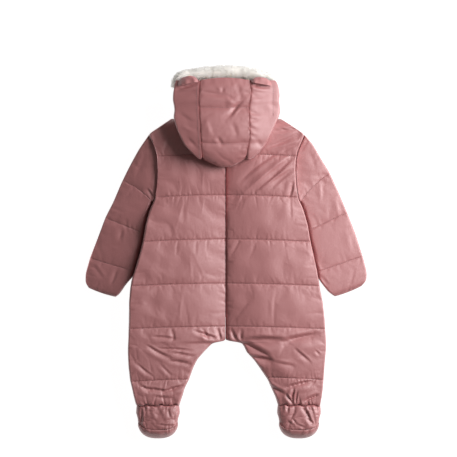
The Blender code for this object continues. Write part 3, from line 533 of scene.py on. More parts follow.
# %% Helpers for materials
class Wire:
    """One socket of a material; arithmetic on it adds Math nodes."""

    def __init__(self, paint, socket):
        self.paint = paint
        self.socket = socket

    def maths(self, operation, first, second=0.0):
        return self.paint.node("ShaderNodeMath", {"operation": operation}, {0: first, 1: second})

    def __add__(self, other):
        return self.maths("ADD", self, other)

    def __sub__(self, other):
        return self.maths("SUBTRACT", self, other)

    def __rsub__(self, other):
        return self.maths("SUBTRACT", other, self)

    def __mul__(self, other):
        return self.maths("MULTIPLY", self, other)

    __radd__ = __add__
    __rmul__ = __mul__

    def sine(self):
        return self.maths("SINE", self)

    def size(self):
        return self.maths("ABSOLUTE", self)


class Paint:
    """The nodes of one material, around its Principled shader."""

    def __init__(self, name):
        self.material = bpy.data.materials.new(name)
        self.material.use_nodes = True
        self.tree = self.material.node_tree
        self.shader = self.tree.nodes["Principled BSDF"]
        self.place = self.node("ShaderNodeTexCoord", output="Object")

    def node(self, kind, settings=None, inputs=None, output=0):
        made = self.tree.nodes.new(kind)
        for name, value in (settings or {}).items():
            setattr(made, name, value)
        self.connect(made, inputs or {})
        return Wire(self, made.outputs[output])

    def connect(self, node, inputs):
        for name, value in inputs.items():
            if isinstance(value, Wire):
                self.tree.links.new(value.socket, node.inputs[name])
            else:
                node.inputs[name].default_value = value

    def noise(self, scale, detail=2.0, roughness=0.5, place=None):
        inputs = {"Vector": place or self.place, "Scale": scale, "Detail": detail,
                  "Roughness": roughness}
        return self.node("ShaderNodeTexNoise", None, inputs, "Fac")

    def mix(self, share, first, second):
        inputs = {"Factor": share, 6: first, 7: second}
        return self.node("ShaderNodeMix", {"data_type": "RGBA"}, inputs, 2)

    def bump(self, height, distance, strength, below=None):
        inputs = {"Height": height, "Distance": distance, "Strength": strength}
        if below:
            inputs["Normal"] = below
        return self.node("ShaderNodeBump", None, inputs)

    def finish(self, **values):
        inputs = {name.replace("_", " "): value for name, value in values.items()}
        self.connect(self.shader, inputs)
        return self.material


# %% [markdown]
# The shell is a tightly woven polyester in dusty pink. Its threads are far finer than a pixel, so
# they only soften the shine. What the eye reads is a faint crinkle of a few millimetres, slow
# differences in tone, and a satin sheen that pales the slopes turned to the light.

# %% The pink shell cloth
THREAD = 0.0006
PINK = (0.398, 0.131, 0.132, 1.0)
PINK_DEEP = (0.364, 0.113, 0.113, 1.0)


def shell_cloth(name, tone=1.0):
    paint = Paint(name)
    across = paint.node("ShaderNodeSeparateXYZ", None, {"Vector": paint.place}, "X")
    along = Wire(paint, across.socket.node.outputs["Y"])
    turn = 2 * math.pi / THREAD
    weave = (across * turn).sine() * (along * turn).sine()
    slow = paint.noise(16.0, 3.0)
    crinkle = (paint.noise(38.0, 2.5, 0.6) - 0.5).size()
    fine = paint.noise(420.0, 2.0)
    light = [channel * tone for channel in PINK[:3]] + [1.0]
    deep = [channel * tone for channel in PINK_DEEP[:3]] + [1.0]
    shade = slow * 0.8 + fine * 0.25
    stretched = paint.node("ShaderNodeVectorMath", {"operation": "MULTIPLY"},
                           {0: paint.place, 1: (1.0, 0.35, 0.6)})
    streaks = paint.noise(150.0, 3.0, 0.65, stretched)
    lumpy = paint.bump(streaks, 0.0007, 0.28, paint.bump(crinkle, 0.0014, 0.3))
    creased = paint.bump(fine, 0.0002, 0.4, lumpy)
    woven = paint.bump(weave, 0.00004, 0.5, creased)
    return paint.finish(Base_Color=paint.mix(shade, deep, light), Roughness=0.54 + slow * 0.10,
                        Normal=woven, IOR=1.8, Specular_IOR_Level=0.9, Sheen_Weight=0.20,
                        Sheen_Roughness=0.4)


SHELL = shell_cloth("pink_shell")
print("made", SHELL.name)


# %% [markdown]
# The facing is a short-pile fleece in warm white. Its tufts are modelled later as real geometry;
# the material only mottles their tone and scatters the light softly, with a strong sheen at the
# edges.

# %% The white fleece and the zip's plastic
def fleece_cloth():
    paint = Paint("white_fleece")
    curl = paint.noise(260.0, 3.0, 0.6)
    slow = paint.noise(40.0, 2.0)
    shade = curl * 0.5 + slow * 0.5
    pile = paint.bump(curl, 0.0008, 0.5)
    tones = paint.mix(shade, (0.80, 0.775, 0.71, 1.0), (0.86, 0.84, 0.78, 1.0))
    return paint.finish(Base_Color=tones, Roughness=0.9 + slow * 0.1, Normal=pile,
                        Specular_IOR_Level=0.2, Sheen_Weight=0.5, Sheen_Roughness=0.6,
                        Subsurface_Weight=1.0, Subsurface_Scale=0.02,
                        Subsurface_Radius=(0.6, 0.6, 0.6))


def zip_plastic():
    paint = Paint("pink_zip")
    grain = paint.noise(900.0, 2.0)
    tones = paint.mix(grain, (0.26, 0.10, 0.10, 1.0), (0.34, 0.14, 0.14, 1.0))
    return paint.finish(Base_Color=tones, Roughness=0.35 + grain * 0.15,
                        Normal=paint.bump(grain, 0.0001, 0.3))


FLEECE = fleece_cloth()
ZIP = zip_plastic()
# Real pink thread, drawn darker than the shell: the darkening is painted shade of its grooves.
SHADE_PAINTED_THREAD = shell_cloth("pink_thread", tone=0.55)
print("made", FLEECE.name, ZIP.name, SHADE_PAINTED_THREAD.name)


# %% [markdown]
# Each half of the back is one wadded panel with its leg. Seen in cross section it is a dome that
# falls to the centre seam and to the side; seen along the body it is a row of channels between
# quilting lines. Its outline and its lines come from the tables, rows lie closer together beside
# a line, and columns lie closer together where an edge rounds down, so that the fine shapes have
# points to use.

# %% Values of the quilted backs
EDGE = 3.0               # height of a free edge's seam over the middle of the suit
BACK_LOFT = 24.8         # loft in the middle of a channel, and beside a quilting line
BACK_LINE = 22.7
GROOVE_DEPTH = 0.75       # a row of stitches pulls the cloth in by this much
GROOVE_WIDTH = 1.0
SIDE_ROUNDS = {"left": 2.6, "right": 1.3}    # a free edge rounds down over this width
ARMHOLE_ROUND = 1.5      # and the edge at an armhole over this one, to a higher seam
ARMHOLE_EDGE = 19.5
LEG_ROUND = 3.5
CENTRE_GAPS = {"left": 0.0, "right": 0.9}     # the centre seam is a deep, dark groove
SIDE_EDGES = {"left": 3.0, "right": 12.0}

# By y, the share of its loft that a half loses at its side, and how its share at the seam changes
SIDE_FALL_ROWS = (-160.0, -120.0, 50.0, 90.0, 150.0, 175.0)
SIDE_FALLS = {"left": (0.01, -0.05, -0.05, 0.18, 0.22, 0.22),
              "right": (0.18, 0.18, 0.18, 0.18, 0.11, 0.05)}
SIDE_REACHES = {"left": 110.0, "right": 85.0}
SEAM_FALLS = {"left": 0.42, "right": 0.34}
SEAM_FALL_ROWS = (-130.0, -70.0, 10.0, 60.0, 130.0)
FALL_SHARES = {"left": (1.0, 1.0, 1.0, 0.8, 0.0), "right": (1.3, 0.95, 0.75, 0.95, 1.0)}
LEG_FALLS = {"left": 0.12, "right": 0.32}
LINE_STEPS = (0.0, 0.8, 2.0, 4.0, 6.6)    # distances of rows beside a quilting line
LINE_SAG = 4.5           # a quilting line sags by this much from the centre seam to the side
HELD_REACH = 0.6         # stitches hold the cloth this near to a quilting line
THINNEST = 1.2           # the cloth is nowhere nearer to its middle plane
BACK_LENGTH, BACK_WIDTH = 560.0, 190.0    # mm of seam that puckers are drawn for

# By y, how strong the folds and the fine creases of a half are
FOLD_ROWS = (-200.0, -176.0, -160.0, -130.0)
FOLD_SHARES = (0.95, 0.95, 1.2, 0.22)
CREASE_ROWS = (-190.0, -150.0, -130.0, 150.0, 170.0, 215.0)
CREASE_SHARES = (0.9, 0.7, 0.07, 0.07, 0.4, 0.4)

# Gathers that are easy to see, by the line that they come from: x of each, above it and below it
LINE_GATHERS = {
    ("chest", "left", 1): (-81.0, -62.0, -27.0),
    ("chest", "left", -1): (-106.5, -92.5, -73.0, -53.5, -36.0),
    ("waist", "left", 1): (-53.5, -37.0, -26.0),
    ("waist", "left", -1): (-86.5, -53.0, -32.5),
    ("hip", "left", 1): (-71.0, -41.5),
    ("chest", "right", 1): (52.0, 82.5),
    ("chest", "right", -1): (28.5, 52.5, 67.5, 99.0),
    ("waist", "right", 1): (26.0, 41.5, 54.0, 72.0, 86.5),
    ("waist", "right", -1): (24.5, 56.0, 78.5, 104.5),
    ("hip", "right", 1): (32.5, 110.5),
    ("hip", "right", -1): (45.0, 129.5),
    ("seat", "right", 1): (42.0, 54.0, 66.0),
}

# The larger folds of each half
BACK_FOLDS = {
    "left": folds(
        (-93.8, 216.4, -111.2, 180.4, 5, -3), (-101.3, 227.2, -117.7, 179.3, 5, 2.5),
        (-78.5, 203.2, -95.9, 177.1, 5, -3), (-86, 205.4, -102.4, 179.3, 5, 2.5),
        (-82.8, 133, -82.8, 105, 6, 1.5), (-41, 140, -41, 104, 6, 1.5),
        (-80.6, 90, -93.6, 24.3, 9, 2), (-72, 93.6, -77, 54, 7, -1.8),
        (-67.5, -6.3, -58.9, -49.9, 6, 2), (-59.4, -7, -39.6, -50, 5, -2),
        (-53, 19.8, -53, -7, 4, -2), (-86.4, 19.8, -88, -3.6, 4, -2),
        (-79, -73.8, -82, -127.8, 7, 2), (-71, -95.4, -68.4, -130.5, 5, -2.5),
        (-52.2, -111.6, -53.6, -141.3, 3.5, -3.5), (-95.4, -136.8, -94, -160.2, 4, -2.5),
        (-58, -139, -18, -156, 3.5, -5.5), (-42, -137.5, -30, -156, 3, -4),
        (-14.4, -133.2, -10, -157, 3.5, -4.5), (-132.3, -151.2, -90, -156.6, 3.5, -3),
        (-141.3, -167.4, -99, -189.9, 4, -3.6), (-99, -180.9, -55.8, -185.4, 3.5, -3.6),
        (-120, -172, -62, -178, 3, -2.2), (-100.8, -194.4, -63, -201.6, 3.5, -3),
        (-159.3, -198.9, -132.3, -223.2, 3.5, -2.6), (-118, -203, -96, -222, 3, -1.8),
        (-154.8, -241.2, -132, -247, 4, -3.6), (-140, -243, -108, -250.5, 4, -4),
        (-114.3, -249.3, -76.5, -241.2, 4, -4.5), (-128, -258, -96, -262, 3.5, -2.4),
    ),
    "right": folds(
        (86.4, 219.6, 136.8, 221.4, 3, -3), (86.4, 225, 136.8, 226.8, 3, 1.5),
        (136.8, 212.4, 75.6, 190.8, 6, -3), (133, 203.4, 75.6, 183.6, 6, 2),
        (129.6, 192.6, 97, 180, 5, -2), (123.7, 175.3, 28.3, 108, 7, 3),
        (97, 183.6, 26, 126, 7, -3), (118.8, 165.6, 46.8, 108, 5, -3.5),
        (121.5, 158.4, 64.8, 112.5, 5, 2.5), (122.4, 147.6, 79.2, 111.6, 5, -2),
        (120.6, 127.8, 115.2, 95.4, 4, -4), (115.2, 95.4, 118.8, 57.6, 4, -4),
        (28.3, 103, 17.5, 75.6, 4, 2), (36, 99, 21.6, 66.6, 5, -2),
        (55.8, 19.8, 41.4, -10.8, 4, -2), (24.3, 19.8, 10.8, -3.6, 4, -2.5),
        (39.6, -90, 26, -109, 6, -2.5), (26, -109, 7.2, -130.5, 6, -2.5),
        (85.3, -76.5, 82.8, -122.4, 5, 2), (75.6, -79, 73.8, -122, 5, -1.5),
        (9, -137, 21, -160, 3.5, -5), (30, -139, 26, -158, 3.5, -3.5),
        (31.5, -158.8, 101.5, -157.5, 9, -6.5), (166.5, -146.7, 101.7, -161.6, 10, -6.5),
        (30.6, -162, 79.2, -189.9, 9, -5), (42.3, -186, 84, -195.3, 6, -5.5),
        (124.2, -171.9, 151.2, -198.9, 4, -2.2), (86.4, -196, 124, -206, 6, -2),
        (161, -176, 169, -184.5, 3, -2), (72, -236, 104.4, -253, 6, -5),
        (106.2, -242.5, 158, -232.5, 5, -5), (122.5, -246, 119.7, -272, 3, -5),
        (127.5, -252, 126, -272, 2.5, -3), (108, -256, 119, -270, 3, -5),
        (166.5, -257, 140, -270, 3, -5),
    ),
}
print("folds by hand:", sum(len(table) for table in BACK_FOLDS.values()))


# %% Rows and puckers beside quilting lines
def channel_rows(top, bottom, apart):
    """Heights of one channel's rows, from its top line to just above its bottom line."""
    height = top - bottom
    count = max(round((height - 2 * LINE_STEPS[-1]) / apart), 2)
    middle = np.linspace(LINE_STEPS[-1], height - LINE_STEPS[-1], count + 1)[1:-1]
    down = np.concatenate((LINE_STEPS, middle, height - np.array(LINE_STEPS[:0:-1])))
    return top - down


def in_channel(lines, at):
    """For each place, its share of the way through its channel and its distance to a line."""
    lines = np.asarray(lines, float)
    number = np.clip(np.searchsorted(-lines, -at, side="right") - 1, 0, len(lines) - 2)
    top, bottom = lines[number], lines[number + 1]
    return (top - at) / (top - bottom), np.minimum(top - at, at - bottom)


def beside_line(found, along, rows, line, direction):
    """Puckers that leave a line at one of its two sides."""
    away = np.maximum((rows - line) * direction, 0.0)
    away = np.broadcast_to(away[:, None], along.shape)
    return puckered(found, along, away) * unit(away / 2.5)


def line_relief(side, along, rows):
    """All puckers beside a back half's quilting lines, seeded ones and listed ones."""
    total = np.zeros_like(along)
    for number, line in enumerate(BACK_LINES[1:-1]):
        height = getattr(line, side + "_y")
        for direction in (1, -1):
            seed = 100 + 10 * number + 3 * direction + pick(side, 50, 0)
            found = puckers(seed, BACK_WIDTH, spacing=6.5, width=1.3, reach=7.0, depth=0.75)
            for x in LINE_GATHERS.get((line.name, side, direction), ()):
                found.append(Pucker(abs(x - CENTRE), 0.15, 1.4, 12.0, 0.65))
            total += beside_line(found, along, rows, height, direction)
    return total


# %% Shape and settle the backs
def back_rows(side):
    lines = [getattr(line, side + "_y") for line in BACK_LINES]
    rows = [channel_rows(top, bottom, 2.4) for top, bottom in zip(lines, lines[1:])]
    rows = np.concatenate(rows + [[lines[-1]]])
    rows = rows[(rows > CROTCH_Y + 2.5) | (rows < CROTCH_Y - 17.0)]
    crotch = np.arange(CROTCH_Y - 15.6, CROTCH_Y + 1.0, 1.74)
    return lines, np.sort(np.concatenate((rows, crotch)))[::-1]


def ankle_wave(x):
    """The ankle's elastic pulls its seam into short waves."""
    return 1.2 * np.sin(x / 3.9) + 0.7 * np.sin(x / 2.1 + 1.0)


def back_grid(side):
    """Points of a back half's outer face, and which of them its stitches hold."""
    sign = SIDES[side]
    lines, rows = back_rows(side)
    outer, inner = outer_line(side), inner_line(side)
    share, away = in_channel(lines, rows)
    leg = np.interp(rows, [INSEAM_Y, CROTCH_Y], [1.0, 0.0])
    across = columns(abs(inner(rows) - outer(rows)), 10.0, 8, 56, 10.0, 8)
    fade = eased(rows - ANKLE_Y, 40.0) * eased(NECK_Y - rows, 40.0)
    y = rows[:, None] - LINE_SAG * (1.0 - across) ** 2 * fade[:, None]
    x_out = outer(y)
    x_in = inner(y) + sign * (HALF_GAP + CENTRE_GAPS[side] * (1.0 - leg[:, None]))
    x = x_out + (x_in - x_out) * across
    y = y + ankle_wave(x) * np.exp(-(rows[:, None] - ANKLE_Y) / 6.0)
    from_side, from_seam = abs(x - x_out), abs(x - x_in)
    leg, share, away = leg[:, None], share[:, None], away[:, None]
    taper = np.interp(rows, [ANKLE_Y, -150.0], [0.88, 1.0])[:, None]
    loft = taper * (BACK_LINE + (BACK_LOFT - BACK_LINE) * puff(share))
    fall = SEAM_FALLS[side] * np.interp(rows, SEAM_FALL_ROWS, FALL_SHARES[side])
    seam = 1.0 - fall[:, None] * (1.0 - eased(from_seam, 80.0))
    flank = np.interp(rows, SIDE_FALL_ROWS, SIDE_FALLS[side])[:, None]
    flank = 1.0 - flank * (1.0 - eased(from_side, SIDE_REACHES[side]))
    tilt = 1.0 - LEG_FALLS[side] * (1.0 - eased(from_seam, 55.0))
    inside = seam * (1.0 - leg) + rounded(from_seam, LEG_ROUND) * tilt * leg
    arm = np.interp(rows, [92.0, 108.0, 200.0, 212.0], [0.0, 1.0, 1.0, 0.0])[:, None]
    edge = SIDE_EDGES[side] + (ARMHOLE_EDGE - SIDE_EDGES[side]) * arm
    turn = SIDE_ROUNDS[side] + (ARMHOLE_ROUND - SIDE_ROUNDS[side]) * arm
    ankle = 0.82 + 0.18 * rounded(rows - ANKLE_Y, 4.0)
    ends = np.minimum(rounded(NECK_Y - rows, 14.0), ankle)[:, None]
    height = edge + (loft * flank * inside - edge) * rounded(from_side, turn)
    height = EDGE + (height - EDGE) * ends
    calm = unit(from_side / 9.0) * ends
    fine = -GROOVE_DEPTH * np.exp(-(away / GROOVE_WIDTH) ** 2)
    fine = fine + line_relief(side, abs(x - CENTRE), rows)
    placed = folded(BACK_FOLDS[side], x, y)
    fine += placed * np.interp(y, FOLD_ROWS, FOLD_SHARES)
    if side == "right":
        fine += 0.5 * placed * unit((y - 90.0) / 15.0)
    fine += lumps(pick(side, 11, 12), x, y, 40.0, 0.3)
    seed = pick(side, 31, 32)
    seam_set = puckers(seed, BACK_LENGTH, spacing=11.0, width=2.4, reach=8.0, depth=0.7)
    fine += puckered(seam_set, NECK_Y - y, from_seam) * unit(from_seam / 2.5)
    side_set = puckers(seed + 10, BACK_LENGTH, spacing=9.0, width=2.4, reach=9.0, depth=0.9)
    fine += puckered(side_set, NECK_Y - y, from_side)
    ankle_set = puckers(seed + 30, BACK_WIDTH, spacing=7.0, width=1.9, reach=8.0, depth=1.6)
    fine += puckered(ankle_set, abs(x - CENTRE), y - ANKLE_Y) * unit((y - ANKLE_Y) / 2.0)
    if side == "right":
        gully = 3.4 * np.exp(-from_seam / 1.3) + 1.2 * np.exp(-from_seam / 7.0)
        fine -= gully * (1.0 - leg)
    crinkled = creased(seed + 20, x, y, 26.0, pick(side, 0.8, 0.5), pick(side, -38.0, 218.0), 2.0)
    fine += crinkled * np.interp(y, CREASE_ROWS, CREASE_SHARES)
    height = np.maximum(height + fine * calm, THINNEST)
    pinned = held_edges(x.shape) | (away < HELD_REACH)
    return np.stack((x, y, BODY_MID + HALF_GAP + height), -1), pinned


def build_back(side):
    points, pinned = back_grid(side)
    panel = cloth_sheet("quilted_back_" + side, points)
    settle(panel, pinned, pressure=0.6, spare=0.003, most=2.0)
    return finish_panel(panel, "back_" + side, plane=BODY_MID + HALF_GAP)


BACKS = {side: build_back(side) for side in SIDES}


# %% [markdown]
# The sleeves are quilted in four channels each. The left one slopes away from the light; the
# right one rises steeply beside the body and then falls slowly to its outer fold, so it stays
# bright. A cuff is only the sleeve's end, drawn in by a hidden elastic, which throws short
# gathers.

# %% Values of the sleeves
SLEEVE_PITCH = 80.0      # mm of sleeve for one channel, to place its rows
SLEEVE_DIP = 1.0         # a quilting line lies this much below the middle of its channel
SleeveLook = namedtuple("SleeveLook", "top slope shoulder groove")
SLEEVE_LOOKS = {"left": SleeveLook(31.5, 0.22, 33.0, 0.6),
                "right": SleeveLook(27.5, 0.065, 29.0, 0.6)}
SEWN_GAP = 0.2
ARMHOLE_GAPS = {"left": SEWN_GAP, "right": 1.3}    # the right one is so deep that it looks black
SHOULDER_TOPS = {"left": 33.5, "right": 30.0}    # a sleeve is this high beside the armhole
SHOULDER_REACHES = {"left": 40.0, "right": 36.0}
UNDER_BODY = 17.5        # a sleeve stays below this height where the back lies over it
SLEEVE_LENGTH, SLEEVE_WIDTH = 330.0, 120.0    # mm of seam that puckers are drawn for
SLEEVE_FOLDS = {
    "left": folds(
        (-142.2, 113.4, -128.7, 99, 3.5, -4), (-186.5, 43.9, -189.7, 19.8, 5, -2.5),
        (-205.2, 13.5, -191.9, 12.6, 3, -2), (-180, 60, -176, 36, 4, -2),
        (-171, 54, -168, 34, 3, -2), (-162.4, 52.2, -160, 36, 3, -2),
        (-150, 190, -166, 140, 8, 1.5), (-205, -58, -196, -32, 4, -2.5),
        (-240, -20, -222, -48, 5, -2),
    ),
    "right": folds(
        (156.2, 136.8, 180, 140.4, 3, -3), (169.2, 126, 169.2, 91.8, 6, 2.5),
        (197.5, 99.5, 206.1, 60.5, 6, 2.5), (154.1, 45, 190, 60, 4, -2.5),
        (169.2, -41.4, 183.6, -59.4, 4, -3.5), (150, 186, 160, 150, 6, -1.8),
        (214, 40, 226, 4, 7, 1.5), (232, -30, 224, -58, 4, -2),
    ),
}


# %% Shape and settle the sleeves
def sleeve_points(side, counts, across, gap=SEWN_GAP):
    """Places on a sleeve by its line counts and shares across, with their edge distances."""
    sign = SIDES[side]
    table = SLEEVES[side]
    places = [row.line * SLEEVE_PITCH for row in table]
    names = ("outer_x", "outer_y", "inner_x", "inner_y", "bow")
    values = [blurred_line(places, [getattr(row, name) for row in table], 5.0) for name in names]
    fold_x, fold_y, seam_x, seam_y, bow = [line(counts * SLEEVE_PITCH)[:, None] for line in values]
    run_x, run_y = seam_x - fold_x, seam_y - fold_y
    length = np.hypot(run_x, run_y)
    bowed = -sign * bow * 4.0 * across * (1.0 - across) / length
    x = fold_x + run_x * across + run_y * bowed
    y = fold_y + run_y * across - run_x * bowed
    start = table[0]
    armhole_y = start.outer_y + (start.inner_y - start.outer_y) * across
    straight_x = start.outer_x + (start.inner_x - start.outer_x) * across
    armhole_x = outer_line(side)(armhole_y) + sign * gap
    x = x + (armhole_x - straight_x) * np.maximum(1.0 - counts[:, None] / 0.9, 0.0) ** 1.5
    return x, y, length * across, length * (1.0 - across)


def sleeve_counts(apart):
    rows = [channel_rows(-n * SLEEVE_PITCH, -(n + 1) * SLEEVE_PITCH, apart) for n in range(4)]
    return np.concatenate(rows + [[-4.0 * SLEEVE_PITCH]]) / -SLEEVE_PITCH


def sleeve_columns(side, counts, middle):
    length = sleeve_points(side, counts, np.ones((len(counts), 1)))[2][:, 0]
    return columns(length, 13.0, 7, middle, 12.0, 6)


def top_sleeve_grid(side):
    sign, look = SIDES[side], SLEEVE_LOOKS[side]
    counts = sleeve_counts(3.7)
    across = sleeve_columns(side, counts, 20)
    x, y, from_fold, from_seam = sleeve_points(side, counts, across, ARMHOLE_GAPS[side])
    count = counts[:, None]
    share, away = in_channel(-np.arange(5.0), -counts)
    share, away = share[:, None], away[:, None] * SLEEVE_PITCH
    outside = np.maximum(sign * (x - outer_line(side)(y)), 0.0)
    slope = look.slope * np.interp(count, [0.3, 1.5], [pick(side, 1.0, 0.3), 1.0])
    loft = look.top - slope * outside - SLEEVE_MID
    loft = loft + (look.shoulder - look.top) * (1.0 - eased(count, 1.3))
    near = np.exp(-(from_seam / SHOULDER_REACHES[side]) ** 2) * unit((1.5 - count) / 0.9)
    loft = loft + (SHOULDER_TOPS[side] - SLEEVE_MID - loft) * near * 0.9
    hidden = np.clip((from_fold - 22.0) / 16.0, 0.0, pick(side, 0.0, 0.85)) * (count < 1.5)
    held = np.where((count > 0.2) & (count < 3.8), 1.0, 0.0) * (1.0 - hidden)
    loft = loft - SLEEVE_DIP * (1.0 - puff(share)) * (1.0 - hidden)
    envelope = rounded(from_fold, 1.1) * rounded(from_seam, 1.8)
    cuff = 0.45 + 0.55 * rounded(4.0 - count, 0.25)
    armhole = 0.92 + 0.08 * rounded(count, 0.05)
    height = EDGE - 0.5 + (loft - EDGE) * envelope * cuff * armhole
    calm = unit(from_fold / 7.0) * unit(from_seam / 6.0) * cuff
    fine = -look.groove * held * np.exp(-(away / GROOVE_WIDTH) ** 2)
    fine = fine - 0.9 * np.exp(-(((4.0 - count) * SLEEVE_PITCH - 8.0) / 1.6) ** 2)
    base = pick(side, 300, 400)
    for line in range(5):
        for direction in (1, -1):
            reach, depth = (12.0, 0.8) if line in (0, 4) else (7.0, 0.45)
            found = puckers(base + 10 * line + direction, SLEEVE_WIDTH, spacing=8.5, width=1.7,
                            reach=reach, depth=depth)
            fine = fine + beside_line(found, from_fold, -counts * SLEEVE_PITCH,
                                      -line * SLEEVE_PITCH, direction)
    placed = pick(side, 0.6, 0.35) * folded(SLEEVE_FOLDS[side], x, y)
    fine += placed + creased(base + 50, x, y, 34.0, 0.10)
    edge_set = puckers(base + 90, SLEEVE_LENGTH, spacing=9.0, width=2.4, reach=8.0, depth=0.9)
    fine += puckered(edge_set, count * SLEEVE_PITCH, from_fold)
    height = height + fine * calm
    roof = UNDER_BODY - SLEEVE_MID - HALF_GAP + 16.0 * eased(outside, 7.0)
    height = np.maximum(np.where(y < 90.0, np.minimum(height, roof), height), THINNEST)
    pinned = held_edges(x.shape) | (away < HELD_REACH)
    return np.stack((x, y, SLEEVE_MID + HALF_GAP + height), -1), pinned


def build_top_sleeve(side):
    points, pinned = top_sleeve_grid(side)
    panel = cloth_sheet("quilted_sleeve_" + side, points)
    settle(panel, pinned, pressure=0.6, spare=0.003, most=1.0)
    return finish_panel(panel, "sleeve_top_" + side, plane=SLEEVE_MID + HALF_GAP)


TOP_SLEEVES = {side: build_top_sleeve(side) for side in SIDES}


# %% [markdown]
# The fronts and under sleeves lie on the surface, so their faces below are flat, and only their
# edges round up to the side seams, puckered where the seam gathers them. No simulation is needed
# here: the surface has already pressed them flat. Shallow stitched grooves carry the quilting
# round.

# %% The fronts with their collar
ROLL_INSET = 5.0         # the collar's edge lies this far inside the roll's outer line
COLLAR_STEP = 9.0        # beyond the neck, the front's top falls to the collar over this length
FRONT_ROUND = 14.0
FRONT_COLUMNS = 26
FRONT_LENGTH = 620.0


def roll_edge(side):
    """Outer line of the fleece roll on one side, a little inside it, as x by y."""
    found = []
    for before, row, after in zip([ROLL[0]] + ROLL[:-1], ROLL, ROLL[1:] + [ROLL[-1]]):
        run_x, run_y = after.x - before.x, after.y - before.y
        length = math.hypot(run_x, run_y)
        x, y = row.x + run_y / length * ROLL_INSET, row.y - run_x / length * ROLL_INSET
        if x * SIDES[side] >= 0.0:
            found.append((y, abs(x)))
    found.sort()
    return blurred_line([p[0] for p in found], [p[1] for p in found], 1.5)


def front_side(side, y):
    """Outer edge of a front: collar, shoulder, then under the edge of the back."""
    sign = SIDES[side]
    body = outer_line(side)(y)
    setback = np.interp(y, [-52.0, -40.0, 84.0, 96.0], [0.0, 12.0, 12.0, 1.5])
    hood = abs(table_line(HOOD, side + "_edge", 2.0)(np.minimum(y, FACE_Y))) - 1.0
    limit = roll_edge(side)(y)
    collar = sign * np.where(y > FACE_Y, limit, np.minimum(limit, hood))
    return np.where(y > NECK_Y, collar, body - sign * setback)


def front_top(y):
    """Height of the flat top of a front, which steps down to the collar beyond the neck."""
    return np.interp(y, [NECK_Y, NECK_Y + COLLAR_STEP], [BODY_MID, COLLAR_HEIGHT]) - HALF_GAP


def front_grid(side):
    sign = SIDES[side]
    rows = np.concatenate((np.arange(330.0, 300.0, -2.0), np.arange(300.0, CROTCH_Y + 2.0, -4.0),
                           np.arange(CROTCH_Y + 1.0, CROTCH_Y - 17.0, -1.8),
                           np.arange(CROTCH_Y - 20.0, ANKLE_Y, -4.0), [ANKLE_Y]))
    x_out = front_side(side, rows)
    x_in = inner_line(side)(np.minimum(rows, NECK_Y)) + sign * HALF_GAP
    across = columns(abs(x_in - x_out), FRONT_ROUND, 6, FRONT_COLUMNS, FRONT_ROUND, 6)
    x = x_out[:, None] + (x_in - x_out)[:, None] * across
    y = np.broadcast_to(rows[:, None], x.shape)
    from_side, from_seam = abs(x - x_out[:, None]), abs(x - x_in[:, None])
    top = front_top(rows)[:, None]
    lift = (top - EDGE) * (1.0 - rounded(from_side, FRONT_ROUND))
    inseam = (top - EDGE) * (1.0 - rounded(from_seam, FRONT_ROUND))
    lift = np.where(y < CROTCH_Y, np.maximum(lift, inseam), lift)
    groove = 4.2 * (1.0 - rounded(np.maximum(from_seam - 4.6, 0.0), 2.5))
    lift = np.where(y > -122.0, np.maximum(lift, groove), lift)
    for line in BACK_LINES[1:-1]:
        away = abs(y - getattr(line, side + "_y"))
        lift = lift + 1.3 * np.exp(-(away / 2.6) ** 2) * (1.0 - lift / top)
    side_set = puckers(pick(side, 71, 72), FRONT_LENGTH, spacing=9.0, width=3.0, reach=9.0,
                       depth=1.0)
    lift = lift - puckered(side_set, 335.0 - y, from_side) * unit(from_side / 4.0)
    return np.stack((x, y, np.clip(lift, 0.0, top - 1.0)), -1)


def lower_collar(panel):
    places = coordinates(panel.data)
    places[:, 2] = np.minimum(places[:, 2], front_top(places[:, 1] / MM) * MM)
    panel.data.vertices.foreach_set("co", places.ravel())
    panel.data.update()


def build_front(side):
    panel = cloth_sheet("front_panel_" + side, front_grid(side), underside=True)
    refine(panel)
    close_down(panel, BODY_MID - HALF_GAP)
    lower_collar(panel)
    smooth_shading(panel)
    dress(panel, "front_" + side, "shell", SHELL)
    return panel


FRONTS = {side: build_front(side) for side in SIDES}


# %% The under sleeves
def build_under_sleeve(side):
    counts = np.linspace(0.0, 4.0, 89)
    across = sleeve_columns(side, counts, 14)
    x, y, from_fold, from_seam = sleeve_points(side, counts, across)
    top = SLEEVE_MID - HALF_GAP
    inside = rounded(np.minimum(from_fold, from_seam), 9.0)
    lift = (top - EDGE) * (1.0 - inside)
    away = abs(counts - np.round(counts))[:, None] * SLEEVE_PITCH
    lift = lift + 1.0 * np.exp(-(away / 2.6) ** 2) * inside
    found = puckers(pick(side, 81, 82), SLEEVE_LENGTH, spacing=9.0, width=3.0, reach=8.0,
                    depth=0.9)
    lift = lift - puckered(found, counts[:, None] * SLEEVE_PITCH, from_fold) * inside
    points = np.stack((x, y, np.clip(lift, 0.0, top - 1.0)), -1)
    panel = cloth_sheet("under_sleeve_" + side, points, underside=True)
    return finish_panel(panel, "sleeve_under_" + side, plane=top)


UNDER_SLEEVES = {side: build_under_sleeve(side) for side in SIDES}


# %% [markdown]
# The hood is a tube that has been pressed flat over the back: a centre strip from the fleece edge
# over the crown to the nape, and two sides that fold round. The strip is made along its own
# length, as it was cut, with two quilting lines; its relief is added square to its surface.

